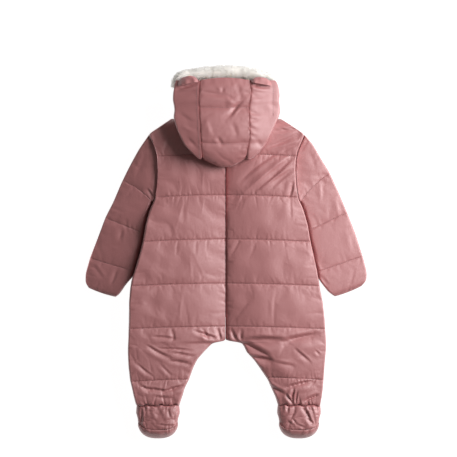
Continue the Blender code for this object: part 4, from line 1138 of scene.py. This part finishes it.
# %% The hood's centre strip
HOOD_WALL = 8.0
STRIP_WIDTH = 95.0       # mm of seam that puckers are drawn for
STRIP_LINES = (258.0, 193.0)
STRIP_FOLDS = folds(
    (-3.1, 292.1, -6.7, 285.1, 3, -2.5), (-16, 293, -7, 290, 3, 1.5),
    (-42.3, 285.1, 1.8, 281.5, 4, -2), (1.8, 281.5, 10, 273.6, 4, -1.5), (2, 277, 12, 266, 5, 2),
    (28.8, 269.1, 5.4, 240.5, 5, -3.5), (23.4, 169.2, 36, 171, 4, 1.5),
    (-14.4, 207, -5.4, 190.8, 4, -2.5), (-34, 236, -26, 206, 7, 1.5), (12, 232, 20, 204, 7, -1.5),
)


def along_strip():
    """The strip's middle line: its arc lengths, and y, z and bow as functions of them."""
    steps = [0.0]
    for before, after in zip(STRIP, STRIP[1:]):
        steps.append(steps[-1] + math.hypot(after.y - before.y, after.z - before.z))
    lines = [blurred_line(steps, [getattr(row, name) for row in STRIP], 3.0)
             for name in ("y", "z", "bow")]
    return steps[-1], lines


def hood_centre_grid():
    length, (line_y, line_z, line_bow) = along_strip()
    steps = np.linspace(0.0, length, 101)
    y0, z0, bow = line_y(steps), line_z(steps), line_bow(steps)
    run_y, run_z = np.gradient(y0), np.gradient(z0)
    size = np.hypot(run_y, run_z)
    out_y, out_z = (run_z / size)[:, None], (-run_y / size)[:, None]
    left = table_line(HOOD, "left_seam", 3.0)(y0)[:, None] + 0.1
    right = table_line(HOOD, "right_seam", 3.0)(y0)[:, None] - 0.1
    width = float((right - left).mean())
    across = (spread(width, 9.0, 6, 20, 9.0, 6) / width)[None, :]
    x = left + (right - left) * across
    y = y0[:, None] + bow[:, None] * (2.0 * across - 1.0) ** 2
    z = np.broadcast_to(z0[:, None], x.shape)
    near = unit((z0 - 46.0) / 10.0)[:, None]
    from_seam = np.minimum(x - left, right - x)
    relief = -2.8 * np.exp(-(x - left) / 1.1) - 1.0 * (2.0 * across - 1.0) ** 2
    calm = unit(from_seam / 3.0)
    for number, place in enumerate(STRIP_LINES):
        at = float(steps[np.argmin(abs(y0 - place) + 100.0 * (z0 < 60.0))])
        relief = relief - 1.4 * np.exp(-((steps - at) / GROOVE_WIDTH) ** 2)[:, None]
        for direction in (1, -1):
            found = puckers(500 + 10 * number + direction, STRIP_WIDTH, spacing=8.0, width=1.8,
                            reach=7.0, depth=0.6)
            relief = relief + beside_line(found, x - left, steps, at, direction) * calm
    for number, edge in enumerate((x - left, right - x)):
        found = puckers(520 + number, length, spacing=8.0, width=2.2, reach=5.0,
                        depth=0.5 + 0.6 * number)
        relief = relief + puckered(found, steps[:, None] + 0.0 * x, edge) * calm
    relief = relief + 0.9 * folded(STRIP_FOLDS, x, y) * calm + creased(21, x, y, 34.0, 0.35)
    relief = relief * near
    return np.stack((x, y + out_y * relief, z + out_z * relief), -1)


def build_hood_centre():
    points = hood_centre_grid()
    panel = cloth_sheet("hood_strip", points)
    settle(panel, held_edges(points.shape[:2]), pressure=0.5, spare=0.005, most=1.2)
    return finish_panel(panel, "hood_centre", wall=HOOD_WALL)


HOOD_STRIP = build_hood_centre()


# %% [markdown]
# Each hood side starts at its seam with the strip, slopes away, and turns under in a soft fold.
# It then lies on the back, or stands on the collar beside the neck. A row of points follows that
# whole way round, and the rows run from the mouth to the nape. The right seam was sewn with the
# cloth held tight, so it is full of deep dents; the left one is calmer and shows its lapped edge.

# %% The hood's sides
HOOD_ROUND = 2.0
HOOD_SLOPES = {"left": 0.19, "right": 0.22}
NAPE_Y = 166.2
SIDE_WALL = 5.0
SIDE_LENGTH = 150.0      # mm of seam that puckers are drawn for
SEAM_STEPS = (0.0, 1.0, 2.4, 4.4, 7.2)    # distances of the first points beside the seam
HOOD_FOLDS = {
    "left": folds(
        (-90, 292.5, -47, 303.5, 2.6, -8), (-90, 287, -56, 289, 5, -2.2),
        (-84, 250, -60, 232, 7, -1.6), (-78, 226, -54, 214, 6, 1.4),
        (-70, 206, -52, 186, 5, -1.8),
    ),
    "right": folds(
        (41, 302.5, 76, 295, 3, -9), (48, 287, 84, 284, 4, -1.6), (46, 283, 62, 276, 4, -3.2),
        (42, 252, 60, 246, 4, -3.4), (42, 238, 58, 236, 4, -3.2), (42, 224, 56, 218, 4, -3),
        (42, 212, 54, 206, 3.5, -2.6), (70, 262, 92, 250, 8, 2), (56, 200, 66, 186, 5, -1.8),
    ),
}
HOOD_STITCH_X = 84.6     # a row of stitches near the face edge, on the right side only


def hood_side_grid(side):
    sign = SIDES[side]
    rows = np.linspace(FACE_Y, NAPE_Y, 47)
    lines = [table_line(HOOD, name, 3.0) for name in (side + "_seam", side + "_edge", "near_z")]
    seam, edge, top = [line(rows)[:, None] for line in lines]
    upper = [row for row in STRIP if row.z > 60.0]
    strip_top = blurred_line([row.y for row in upper], [row.z for row in upper], 3.0)(rows)
    top = np.maximum(top, strip_top[:, None] - 1.6)
    rest = table_line(HOOD, "rest_z", 1.5)(rows)[:, None]
    seam = seam + sign * 0.1
    width = abs(edge - seam)
    radius = np.minimum(HOOD_ROUND, 0.8 * width)
    round_x = edge - sign * radius
    reach = abs(round_x - seam)
    share = np.linspace(0.0, 1.0, 10)[None, 1:]
    start = np.minimum(np.array([SEAM_STEPS]), reach * 0.5)
    flat = np.concatenate((start, start[:, -1:] + (reach - start[:, -1:]) * share), 1)
    angle = np.radians(np.linspace(90.0, -90.0, 15)[1:])[None, :]
    on_back = unit((rest - COLLAR_HEIGHT - 1.0) / 10.0)
    under = (reach * on_back + 6.0 * (1.0 - on_back)) * np.linspace(0.0, 1.0, 6)[None, 1:]
    slope = HOOD_SLOPES[side]
    fold_top = top - slope * reach
    middle, rise = (fold_top + rest) / 2, (fold_top - rest) / 2
    x = np.concatenate((seam + sign * flat, round_x + sign * radius * np.cos(angle),
                        round_x - sign * under), 1)
    z = np.concatenate((top - slope * flat, middle + rise * np.sin(angle),
                        rest + 0.0 * under), 1)
    turned = np.concatenate((0.0 * flat, (np.pi / 2 - angle) / 1.5 + 0.0 * flat[:, :1],
                             1.0 + 0.0 * under), 1)
    back = 17.0 * np.interp(rows, [272.0, FACE_Y], [0.0, 1.0])[:, None]
    y = rows[:, None] - back * unit(turned)
    out_x = np.concatenate((0.28 * sign + 0.0 * flat, sign * np.cos(angle) + 0.0 * flat[:, :1],
                            0.0 * under), 1)
    out_z = np.concatenate((0.96 + 0.0 * flat, np.sin(angle) + 0.0 * flat[:, :1],
                            -1.0 + 0.0 * under), 1)
    from_seam = abs(x - seam)
    shown = (np.arange(x.shape[1]) < flat.shape[1] + 10)[None, :]
    relief = -pick(side, 0.0, 3.0) * np.exp(-from_seam / 1.2)
    relief = relief + 0.7 * folded(HOOD_FOLDS[side], x, y)
    base = pick(side, 600, 700)
    found = puckers(base, SIDE_LENGTH, spacing=8.0, width=2.3, reach=6.0,
                    depth=pick(side, 0.5, 1.1))
    relief += puckered(found, FACE_Y - y, from_seam) * unit(from_seam / 3.0)
    relief += creased(base + 3, x, y, 36.0, 0.2)
    if side == "right":
        held = unit((y - 240.0) / 8.0)
        relief -= 0.5 * np.exp(-((x - HOOD_STITCH_X) / 1.8) ** 2) * held
    relief = np.where(shown, relief, 0.0)
    return np.stack((x + out_x * relief, y, z + out_z * relief), -1)


def build_hood_side(side):
    panel = cloth_sheet("hood_panel_" + side, hood_side_grid(side))
    return finish_panel(panel, "hood_side_" + side, wall=SIDE_WALL)


HOOD_SIDES = {side: build_hood_side(side) for side in SIDES}


# %% [markdown]
# The fleece facing rolls out of the hood's mouth and over the collar. It is a fat, uneven tube,
# so it is lofted through closed sections along its line and made lumpy. A pile can't come from
# bump alone, because the outline would stay smooth, so thousands of small bent tufts stand on it,
# each with only seven faces. They are placed by a seeded draw over the roll's faces and lean with
# the surface.

# %% A closed loft, and the fleece roll
ROLL_STEPS, ROLL_AROUND = 110, 26
ROLL_SIZE = (38.0, 36.0)    # its usual width and height


def closed_loft(name, loops):
    """A closed body through sections, each a closed loop of points in millimetres."""
    count, around = loops.shape[:2]
    at = np.arange(count * around).reshape(count, around)
    ahead = np.roll(at, -1, axis=1)
    sides = np.stack((at[:-1], ahead[:-1], ahead[1:], at[1:]), -1).reshape(-1, 4).tolist()
    caps = [at[0].tolist(), at[-1].tolist()[::-1]]
    body = new_piece(name, loops * MM, sides + caps)
    turn_outward(body)
    return body


def arc_lengths(points):
    """Lengths along a line of points, from its start."""
    return np.concatenate(([0.0], np.cumsum(np.hypot(*np.diff(points, axis=0).T))))


def roll_loops():
    places = np.arange(len(ROLL)) * 14.0
    at = np.linspace(0.0, places[-1], ROLL_STEPS)
    x0, y0, width, height = [blurred_line(places, column, 6.0)(at) for column in zip(*ROLL)]
    run_x, run_y = np.gradient(x0), np.gradient(y0)
    size = np.hypot(run_x, run_y)
    in_x, in_y = run_y / size, -run_x / size
    section = np.array(ROLL_SECTION + [(0.80, 0.02), (0.5, 0.01), (0.2, 0.01)])
    closed = np.vstack((section, section[:1]))
    lengths = arc_lengths(closed * ROLL_SIZE)
    turn = np.linspace(0.0, lengths[-1], ROLL_AROUND + 1)[:-1]
    across = np.interp(turn, lengths, closed[:, 0])[None, :]
    up = np.interp(turn, lengths, closed[:, 1])[None, :]
    x = x0[:, None] + in_x[:, None] * width[:, None] * across
    y = y0[:, None] + in_y[:, None] * width[:, None] * across
    z = COLLAR_HEIGHT + 0.3 + height[:, None] * up
    swell = lumps(41, x, y + z * 1.3, 26.0, 0.4) * unit(up / 0.25)
    x, y = x - in_x[:, None] * swell * 0.6, y - in_y[:, None] * swell * 0.6
    return np.stack((x, y, z + swell), -1)


FLEECE_ROLL = closed_loft("fleece_facing", roll_loops())
refine(FLEECE_ROLL)
smooth_shading(FLEECE_ROLL, 80.0)
dress(FLEECE_ROLL, "hood_fleece", "fleece", FLEECE)


# %% Tufts on the fleece
TUFTS = 6000
TUFT_LENGTH = 1.2
TUFT_WIDTH = 1.6


def tuft_sites(body, count, seed):
    """Seeded places over a body's upper faces, with their normals."""
    rng = np.random.default_rng(seed)
    mesh = body.data
    centres = np.array([face.center for face in mesh.polygons])
    normals = np.array([face.normal for face in mesh.polygons])
    areas = np.array([face.area for face in mesh.polygons])
    areas = areas * (centres[:, 2] > (COLLAR_HEIGHT + 3.0) * MM)
    chosen = rng.choice(len(areas), size=count, p=areas / areas.sum())
    jitter = rng.normal(0.0, 0.0011, (count, 3))
    return centres[chosen] + jitter, normals[chosen], rng


def build_tufts(body, count):
    places, normals, rng = tuft_sites(body, count, 42)
    lean = rng.normal(0.0, 1.0, (count, 3))
    lean -= normals * (lean * normals).sum(1, keepdims=True)
    lean /= np.linalg.norm(lean, axis=1, keepdims=True)
    side = np.cross(normals, lean)
    length = TUFT_LENGTH * MM * rng.uniform(0.6, 1.3, (count, 1))
    width = TUFT_WIDTH * MM * rng.uniform(0.7, 1.2, (count, 1))
    root = places - normals * 0.0008
    knee = root + normals * length * 0.55 + lean * length * 0.25
    tip = knee + normals * length * 0.20 + lean * length * rng.uniform(0.3, 0.7, (count, 1))
    corners = []
    for centre, scale in ((root, 1.0), (knee, 0.8)):
        for number in range(3):
            angle = 2 * math.pi * number / 3
            spoke = side * math.cos(angle) + lean * math.sin(angle)
            corners.append(centre + spoke * width * scale * 0.5)
    corners.append(tip)
    points = np.stack(corners, 1).reshape(-1, 3)
    shape = [(2, 1, 0), (0, 1, 4, 3), (1, 2, 5, 4), (2, 0, 3, 5), (3, 4, 6), (4, 5, 6), (5, 3, 6)]
    faces = [[7 * number + corner for corner in face] for number in range(count) for face in shape]
    pile = new_piece("fleece_pile", points, faces)
    turn_outward(pile)
    smooth_shading(pile, 80.0)
    dress(pile, None, "fleece", FLEECE)


build_tufts(FLEECE_ROLL, TUFTS)


# %% [markdown]
# Two small ears were sewn flat into the hood near its mouth and folded by packing. Each is a
# rounded double flap, arched off the hood, on an edge that dents the cloth under it. We make it
# as a sheet on the hood's own height and give it a wall.

# %% The ears
EAR_WALL = 2.4
EAR_ARCH = 2.5
EAR_GAPE = 7.0


def hood_height(x, y):
    """Height of the outside of the hood at places seen from above."""
    left = x < 0.0
    edge, seam = [np.where(left, table_line(HOOD, "left_" + name, 3.0)(y),
                           table_line(HOOD, "right_" + name, 3.0)(y))
                  for name in ("edge", "seam")]
    to_round = abs(edge - seam) - HOOD_ROUND
    slope = np.where(left, HOOD_SLOPES["left"], HOOD_SLOPES["right"])
    away = abs(x - seam)
    top = table_line(HOOD, "near_z", 3.0)(y) - slope * np.minimum(away, to_round)
    beyond = unit((away - to_round) / HOOD_ROUND)
    middle = (top + COLLAR_HEIGHT) / 2
    return middle + (top - middle) * np.sqrt(1.0 - beyond ** 2)


def build_ear(ear):
    turn = math.radians(ear.turn)
    up = np.sin(np.linspace(0.0, np.pi / 2, 16))[:, None]
    across = np.sin(np.linspace(-np.pi / 2, np.pi / 2, 26))[None, :]
    half = ear.half_width * np.sqrt(1.0 - (0.93 * up) ** 2)
    a, b = half * across, ear.height * up + 0.0 * across
    x = ear.x + a * math.cos(turn) - b * math.sin(turn)
    y = ear.y + a * math.sin(turn) + b * math.cos(turn)
    arch = EAR_ARCH * (1.0 - across ** 2) * np.sin(np.pi / 2 * unit(up * 1.6))
    z = hood_height(x, np.minimum(y, FACE_Y)) + 0.6 + arch + EAR_WALL
    z = z + EAR_GAPE * (1.0 - up) * unit((1.0 - abs(across)) * 3.0)
    z = z + lumps(51, x, y, 13.0, 0.5)
    flap = cloth_sheet("soft_" + ear.name, np.stack((x, y, z), -1))
    return finish_panel(flap, ear.name, wall=EAR_WALL)


EAR_FLAPS = [build_ear(ear) for ear in EARS]


# %% [markdown]
# A bootie has three pieces: an upper, gathered by the ankle's elastic; an instep under it; and a
# sole that folds round its end. The elastic makes the deepest gathers of the whole suit, and the
# folds of the right foot are stronger than those of the left one, as they lie.

# %% Values of the feet
FOOT_LOFT = 23.0
FOOT_AROUND = 90.0       # mm of seam that puckers are drawn for
TOE_HALF = 38.0          # half of the seam between upper and sole
SOLE_EDGE, SOLE_RISE = 9.0, 28.5
FOOT_FOLDS = {
    "left": folds(
        (-151.2, -281.7, -153.5, -311.4, 4, -3.2), (-153.5, -308, -144, -324.9, 4, -3),
        (-104, -278, -101, -296, 4, -2.2), (-122.4, -309.5, -90, -311, 3, -1.8),
        (-130, -279, -126, -300, 7, 1.4),
    ),
    "right": folds(
        (139.5, -279, 153, -303.3, 4, -4.5), (126, -279, 115.2, -303.3, 4, -3),
        (112.5, -277.2, 111.6, -289.8, 3, -2.5), (147.6, -277.2, 150.7, -283.9, 3, -2.5),
        (145.8, -300.2, 156.6, -306.9, 3.5, -3), (119.7, -299.5, 127.6, -310.1, 3, -3),
        (127.6, -310.1, 141, -314, 3, -2.5), (111.6, -303, 122, -313, 6, -3),
    ),
}


def arch_point(side, degrees, half, depth):
    """Points of a foot's rounded end, by their angles from the toe."""
    angle = np.radians(degrees)
    x = half * np.sign(angle) * abs(np.sin(angle)) ** ARCH_POWER
    y = FOOT_ROUND_Y - depth * np.abs(np.cos(angle)) ** ARCH_POWER
    return FOOT_MIDDLE[side] + x, y


def foot_points(side, share, across_count):
    """Places on a bootie between its ankle and its sole's seam."""
    turn = np.linspace(-SOLE_SPAN, SOLE_SPAN, across_count)[None, :]
    x_seam, y_seam = arch_point(side, turn, SOLE_SEAM_HALF, SOLE_SEAM_DEPTH)
    widest = arch_point(side, np.array(SOLE_SPAN), SOLE_SEAM_HALF, SOLE_SEAM_DEPTH)[0]
    widest = float(widest) - FOOT_MIDDLE[side]
    across = (x_seam - FOOT_MIDDLE[side]) / widest
    y = FOOT_TOP_Y + (y_seam - FOOT_TOP_Y) * share
    half = table_line(FOOT_HALF, "half", 3.0)(y)
    half = half + (widest - half) * np.maximum(share - 0.5, 0.0) * 2.0
    x = FOOT_MIDDLE[side] + half * across
    y = y + ankle_wave(x) * np.exp(-(FOOT_TOP_Y - y) / 6.0)
    return x, y, across + 0.0 * share, half * (1.0 - abs(across))


# %% The uppers, insteps and soles
def build_upper(side):
    share = np.linspace(0.0, 1.0, 30)[:, None]
    x, y, across, aside = foot_points(side, share, 57)
    ends = np.minimum(0.80 + 0.20 * rounded(share, 0.12), 0.95 + 0.05 * rounded(1.0 - share, 0.2))
    below = FOOT_TOP_Y - y
    tilt = 1.0 + 0.12 * across
    dome = 0.6 * rounded(aside, 6.0) + 0.4 * rounded(aside, 24.0)
    height = EDGE + (FOOT_LOFT - EDGE) * tilt * dome * ends
    base = pick(side, 800, 820)
    calm = unit(aside / 6.0) * ends
    elastic = puckers(base, FOOT_AROUND, spacing=6.5, width=2.0, reach=12.0,
                      depth=pick(side, 1.5, 1.9))
    toe = puckers(base + 1, FOOT_AROUND, spacing=7.5, width=1.8, reach=6.0, depth=0.8)
    along = (across + 1.0) * TOE_HALF
    fine = puckered(elastic, along, below) + puckered(toe, along, (1.0 - share) * 43.0)
    fine += 0.8 * folded(FOOT_FOLDS[side], x, y) + creased(base + 5, x, y, 26.0, 1.0)
    height = np.maximum(height + fine * calm, 1.5)
    points = np.stack((x, y, FOOT_MID + HALF_GAP + height), -1)
    panel = cloth_sheet("bootie_upper_" + side, points)
    settle(panel, held_edges(x.shape), pressure=0.6, spare=0.012, most=1.2)
    return finish_panel(panel, "foot_upper_" + side, plane=FOOT_MID + HALF_GAP)


def build_instep(side):
    share = np.linspace(0.0, 1.0, 14)[:, None]
    x, y, across, aside = foot_points(side, share, 41)
    top = FOOT_MID - HALF_GAP
    lift = (top - EDGE) * (1.0 - rounded(aside, 14.0))
    found = puckers(pick(side, 840, 841), FOOT_AROUND, spacing=7.0, width=2.4, reach=9.0,
                    depth=0.9)
    lift = lift - puckered(found, (across + 1.0) * TOE_HALF, FOOT_TOP_Y - y)
    points = np.stack((x, y, np.clip(lift, 0.0, top - 1.0)), -1)
    panel = cloth_sheet("bootie_instep_" + side, points, underside=True)
    return finish_panel(panel, "foot_front_" + side, plane=top)


def build_sole(side):
    turn = np.linspace(-SOLE_SPAN, SOLE_SPAN, 61)[:, None]
    across = np.concatenate((np.sin(np.linspace(0.0, np.pi / 2, 12)), np.linspace(1.0, 0.0, 9)))
    top = (np.arange(len(across)) < 12)[None, :]
    across = across[None, :]
    near_x, near_y = arch_point(side, turn, SOLE_SEAM_HALF, SOLE_SEAM_DEPTH)
    far_x, far_y = arch_point(side, turn, SOLE_HALF, SOLE_DEPTH)
    x = near_x + (far_x - near_x) * across
    y = near_y + 0.4 + (far_y - near_y - 0.4) * across
    at_toe = 0.60 + 0.40 * np.cos(np.radians(turn))
    crown = SOLE_EDGE + SOLE_RISE * at_toe * np.sqrt(np.maximum(1.0 - across ** 2, 0.0))
    seed = pick(side, 860, 870)
    found = puckers(seed, FOOT_AROUND, spacing=7.0, width=2.0, reach=7.0, depth=1.3)
    along = (turn / SOLE_SPAN + 1.0) * 42.0 + 0.0 * across
    fine = puckered(found, along, across * 18.0 + 0.0 * along) + lumps(seed + 1, x, y, 16.0, 0.5)
    crown = crown + fine * unit(across * 5.0) * unit((1.0 - across) * 6.0)
    z = np.where(top, crown, 5.0 * across ** 3 + 0.0 * crown)
    body = closed_loft("bootie_sole_" + side, np.stack((x, y, z), -1))
    refine(body)
    smooth_shading(body)
    dress(body, "sole_" + side, "shell", SHELL)
    return body


UPPERS = {side: build_upper(side) for side in SIDES}
INSTEPS = {side: build_instep(side) for side in SIDES}
SOLES = {side: build_sole(side) for side in SIDES}


# %% [markdown]
# The zip lies closed underneath, in a groove between the fronts. Its chain is a woven tape with
# two rows of small moulded teeth. One tooth is modelled from a cube and copied along the chain,
# with few faces, because it is repeated more than two hundred times. The slider is the packed
# solid itself, whose shape is right, in a better material.

# %% The zip
TOOTH_PITCH = 3.0


def box_piece(name, low, high, bevel):
    """A bevelled box between two corners in millimetres."""
    bpy.ops.object.select_all(action="DESELECT")
    low, high = Vector(low) * MM, Vector(high) * MM
    bpy.ops.mesh.primitive_cube_add(size=1.0, location=(low + high) / 2)
    body = bpy.context.object
    body.name = body.data.name = name
    body.scale = high - low
    bpy.ops.object.transform_apply(location=True, rotation=False, scale=True)
    edge = body.modifiers.new("edge", "BEVEL")
    edge.width = bevel * MM
    edge.segments = 1
    bpy.ops.object.modifier_apply(modifier=edge.name)
    return body


def repeat(piece, offsets):
    """One mesh that holds a copy of a piece at each offset, in millimetres."""
    base = coordinates(piece.data)
    faces = [list(face.vertices) for face in piece.data.polygons]
    offsets = np.asarray(offsets, float) * MM
    points = (base[None] + offsets[:, None]).reshape(-1, 3)
    count = len(base)
    copies = [[corner + count * number for corner in face]
              for number in range(len(offsets)) for face in faces]
    mesh = bpy.data.meshes.new(piece.name)
    mesh.from_pydata(points.tolist(), [], copies)
    piece.data = mesh
    return piece


low, high = [np.array(corner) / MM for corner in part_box("zip_chain")]
middle = float(low[0] + high[0]) / 2
tape = box_piece("zip_tape", (low[0], low[1], 1.9), (high[0], high[1], high[2]), 0.3)
dress(tape, "zip_chain", "zip", ZIP)
tooth = box_piece("zip_teeth", (middle - 2.6, low[1] + 0.5, low[2]),
                  (middle + 0.5, low[1] + 1.9, 2.2), 0.25)
places = np.arange(0.0, high[1] - low[1] - 4.0, TOOTH_PITCH)
offsets = [(0.0, at, 0.0) for at in places]
offsets += [(2.1, at + TOOTH_PITCH / 2, 0.0) for at in places[:-1]]
repeat(tooth, offsets)
dress(tooth, None, "zip", ZIP)
for item in bpy.data.objects:
    if item.name.startswith("zip_slider"):
        for holder in item.material_slots:
            holder.material = ZIP
print("teeth:", len(offsets))


# %% [markdown]
# Every quilting line and seam is sewn with a lockstitch, which shows as a row of short raised
# beads of thread in a groove. One bead is a small six-sided capsule. It is copied along each
# line, turned with the line and laid on the cloth by looking straight down for the surface, so
# that it follows every pucker. The thread is real, but it is drawn in a darker pink than the
# cloth, and that darkness is painted shade of its groove.

# %% Sew along lines
STITCH_PITCH = 3.3
STITCH_LENGTH = 2.3
THREAD_RISE = 0.00015    # metres of a stitch's middle above the cloth
LOOK_FROM = 0.12         # metres above the surface, from where the cloth is looked for


def make_bead():
    bpy.ops.object.select_all(action="DESELECT")
    bpy.ops.mesh.primitive_uv_sphere_add(segments=6, ring_count=4, radius=0.5 * MM,
                                         rotation=(0.0, math.pi / 2, 0.0))
    bead = bpy.context.object
    bead.scale = (0.9, 0.9, STITCH_LENGTH)
    bpy.ops.object.transform_apply(location=True, rotation=True, scale=True)
    return bead


def sew(name, pieces, lines):
    """Copies of the bead along lines of x and y in millimetres, laid on the pieces below them."""
    bead = make_bead()
    base = coordinates(bead.data)
    faces = [list(face.vertices) for face in bead.data.polygons]
    bpy.data.objects.remove(bead, do_unlink=True)
    points, copies = [], []
    down = Vector((0.0, 0.0, -1.0))
    for line in lines:
        line = np.asarray(line, float)
        steps = arc_lengths(line)
        for at in np.arange(STITCH_PITCH / 2, steps[-1], STITCH_PITCH):
            ends = []
            for place in (at - STITCH_LENGTH / 2, at + STITCH_LENGTH / 2):
                x, y = np.interp(place, steps, line[:, 0]), np.interp(place, steps, line[:, 1])
                top = Vector((x * MM, y * MM, LOOK_FROM))
                found = [piece.ray_cast(top, down) for piece in pieces]
                heights = [hit[1].z for hit in found if hit[0]]
                if heights:
                    ends.append(np.array((x * MM, y * MM, max(heights) + THREAD_RISE)))
            if len(ends) < 2:
                continue
            run = ends[1] - ends[0]
            run = run / np.linalg.norm(run)
            aside = np.cross((0.0, 0.0, 1.0), run)
            aside = aside / np.linalg.norm(aside)
            turned = np.outer(base[:, 0], run) + np.outer(base[:, 1], aside)
            turned = turned + np.outer(base[:, 2], np.cross(run, aside)) + (ends[0] + ends[1]) / 2
            copies += [[corner + len(points) * len(base) for corner in face] for face in faces]
            points.append(turned)
    thread = new_piece(name, np.vstack(points), copies)
    thread.data.shade_smooth()
    dress(thread, None, "shell", SHADE_PAINTED_THREAD)
    print(name, len(points), "stitches")


def back_stitch_lines(side):
    outer, inner = outer_line(side), inner_line(side)
    found = []
    for line in BACK_LINES[1:-1]:
        across = np.linspace(0.03, 0.985, 60)
        y = getattr(line, side + "_y") - LINE_SAG * (1.0 - across) ** 2
        x = outer(y) + (inner(y) + SIDES[side] * HALF_GAP - outer(y)) * across
        found.append(np.stack((x, y), -1))
    return found


def sleeve_stitch_lines(side):
    across = np.linspace(0.06, 0.97, 30)[None, :]
    x, y, _, _ = sleeve_points(side, np.array([1.0, 2.0, 3.0, 3.9]), across)
    return [np.stack((x[n], y[n]), -1) for n in range(4)]


def hood_stitch_lines():
    left, right = [table_line(HOOD, name, 3.0) for name in ("left_seam", "right_seam")]
    found = []
    for y in STRIP_LINES:
        x = np.linspace(float(left(y)) + 2.0, float(right(y)) - 2.0, 30)
        found.append(np.stack((x, 0.0 * x + y), -1))
    y = np.linspace(300.0, 168.0, 60)
    found.append(np.stack((left(y) - 3.2, y), -1))
    y = np.linspace(299.0, 244.0, 24)
    found.append(np.stack((0.0 * y + HOOD_STITCH_X, y), -1))
    return found


for side in SIDES:
    sew("back_stitches_" + side, [BACKS[side]], back_stitch_lines(side))
    sew("sleeve_stitches_" + side, [TOP_SLEEVES[side]], sleeve_stitch_lines(side))
sew("hood_stitches", [HOOD_STRIP, HOOD_SIDES["left"], HOOD_SIDES["right"]], hood_stitch_lines())


# %% [markdown]
# The hood's strip and sides and the ears are listed with their flat sizes, areas and the pieces
# below them; the cloth area of these and of all other panels, the fleece roll and the booties is
# printed.

def cloth_area(piece):
    return sum(face.area for face in piece.data.polygons) / 2


STRIP_LENGTH = 0.268
SHEETS = [(HOOD_STRIP, (0.100, STRIP_LENGTH), 0.0235, ["back_left", "back_right"])]
SHEETS += [(panel, (0.106, 0.156), 0.0146, ["back_" + side]) for side, panel in HOOD_SIDES.items()]
SHEETS += [(flap, (0.037, 0.018), 0.00055, ["hood_side_" + side])
           for side, flap in zip(("left", "right"), EAR_FLAPS)]
for piece, flat, area, below in SHEETS:
    print(piece.name, "cloth area", round(cloth_area(piece), 5))
for piece in [*BACKS.values(), *TOP_SLEEVES.values(), *FRONTS.values(), *UNDER_SLEEVES.values(),
              FLEECE_ROLL, *UPPERS.values(), *INSTEPS.values(), *SOLES.values()]:
    print(piece.name, "cloth area", round(cloth_area(piece), 4))


# %% [markdown]
# The suit was photographed from straight above on white, with a soft light from its right. A long
# lens far away keeps the edges upright, as in the photograph. The floor glows faintly, so that it
# stays white even in the suit's own soft shadow.

# %% Floor, light and camera
FLOOR_GLOW = 0.97
SKY, SKY_STRENGTH = (1.0, 0.91, 0.86, 1.0), 0.135
CAMERA_PLACE = (0.0045, 0.0423, 5.7375)


def floor_paint():
    paint = Paint("white_floor")
    speckle = paint.noise(30.0, 2.0)
    tones = paint.mix(speckle, (0.20, 0.20, 0.20, 1.0), (0.22, 0.22, 0.22, 1.0))
    return paint.finish(Base_Color=tones, Roughness=0.9, Emission_Color=(1.0, 1.0, 1.0, 1.0),
                        Emission_Strength=FLOOR_GLOW, Specular_IOR_Level=0.1)


bpy.ops.object.select_all(action="DESELECT")
bpy.ops.mesh.primitive_plane_add(size=6.0, location=(0.0, 0.0, -0.0004))
floor = bpy.context.object
floor.name = floor.data.name = "floor"
bpy.ops.object.transform_apply(location=True, rotation=False, scale=False)
floor.data.materials.append(floor_paint())


def area_light(name, place, aim, size, power, colour):
    light = bpy.data.lights.new(name, "AREA")
    light.shape = "DISK"
    light.size = size
    light.energy = power
    light.color = colour
    lamp = bpy.data.objects.new(name, light)
    SCENE.collection.objects.link(lamp)
    lamp.location = place
    lamp.rotation_euler = (Vector(aim) - Vector(place)).to_track_quat("-Z", "Y").to_euler()


area_light("key", place=(1.45, 0.54, 1.12), aim=(0.0, 0.0, 0.03), size=1.2, power=57.0,
           colour=(1.0, 0.985, 0.995))
world = bpy.data.worlds.new("studio")
SCENE.world = world
world.use_nodes = True
world.node_tree.nodes["Background"].inputs["Color"].default_value = SKY
world.node_tree.nodes["Background"].inputs["Strength"].default_value = SKY_STRENGTH
SCENE.view_settings.view_transform = "Standard"

lens = bpy.data.cameras.new("camera")
lens.lens = 250.0
lens.sensor_width = 36.0
camera = bpy.data.objects.new("camera", lens)
SCENE.collection.objects.link(camera)
camera.location = CAMERA_PLACE
SCENE.camera = camera
print("camera", tuple(round(value, 4) for value in camera.location))
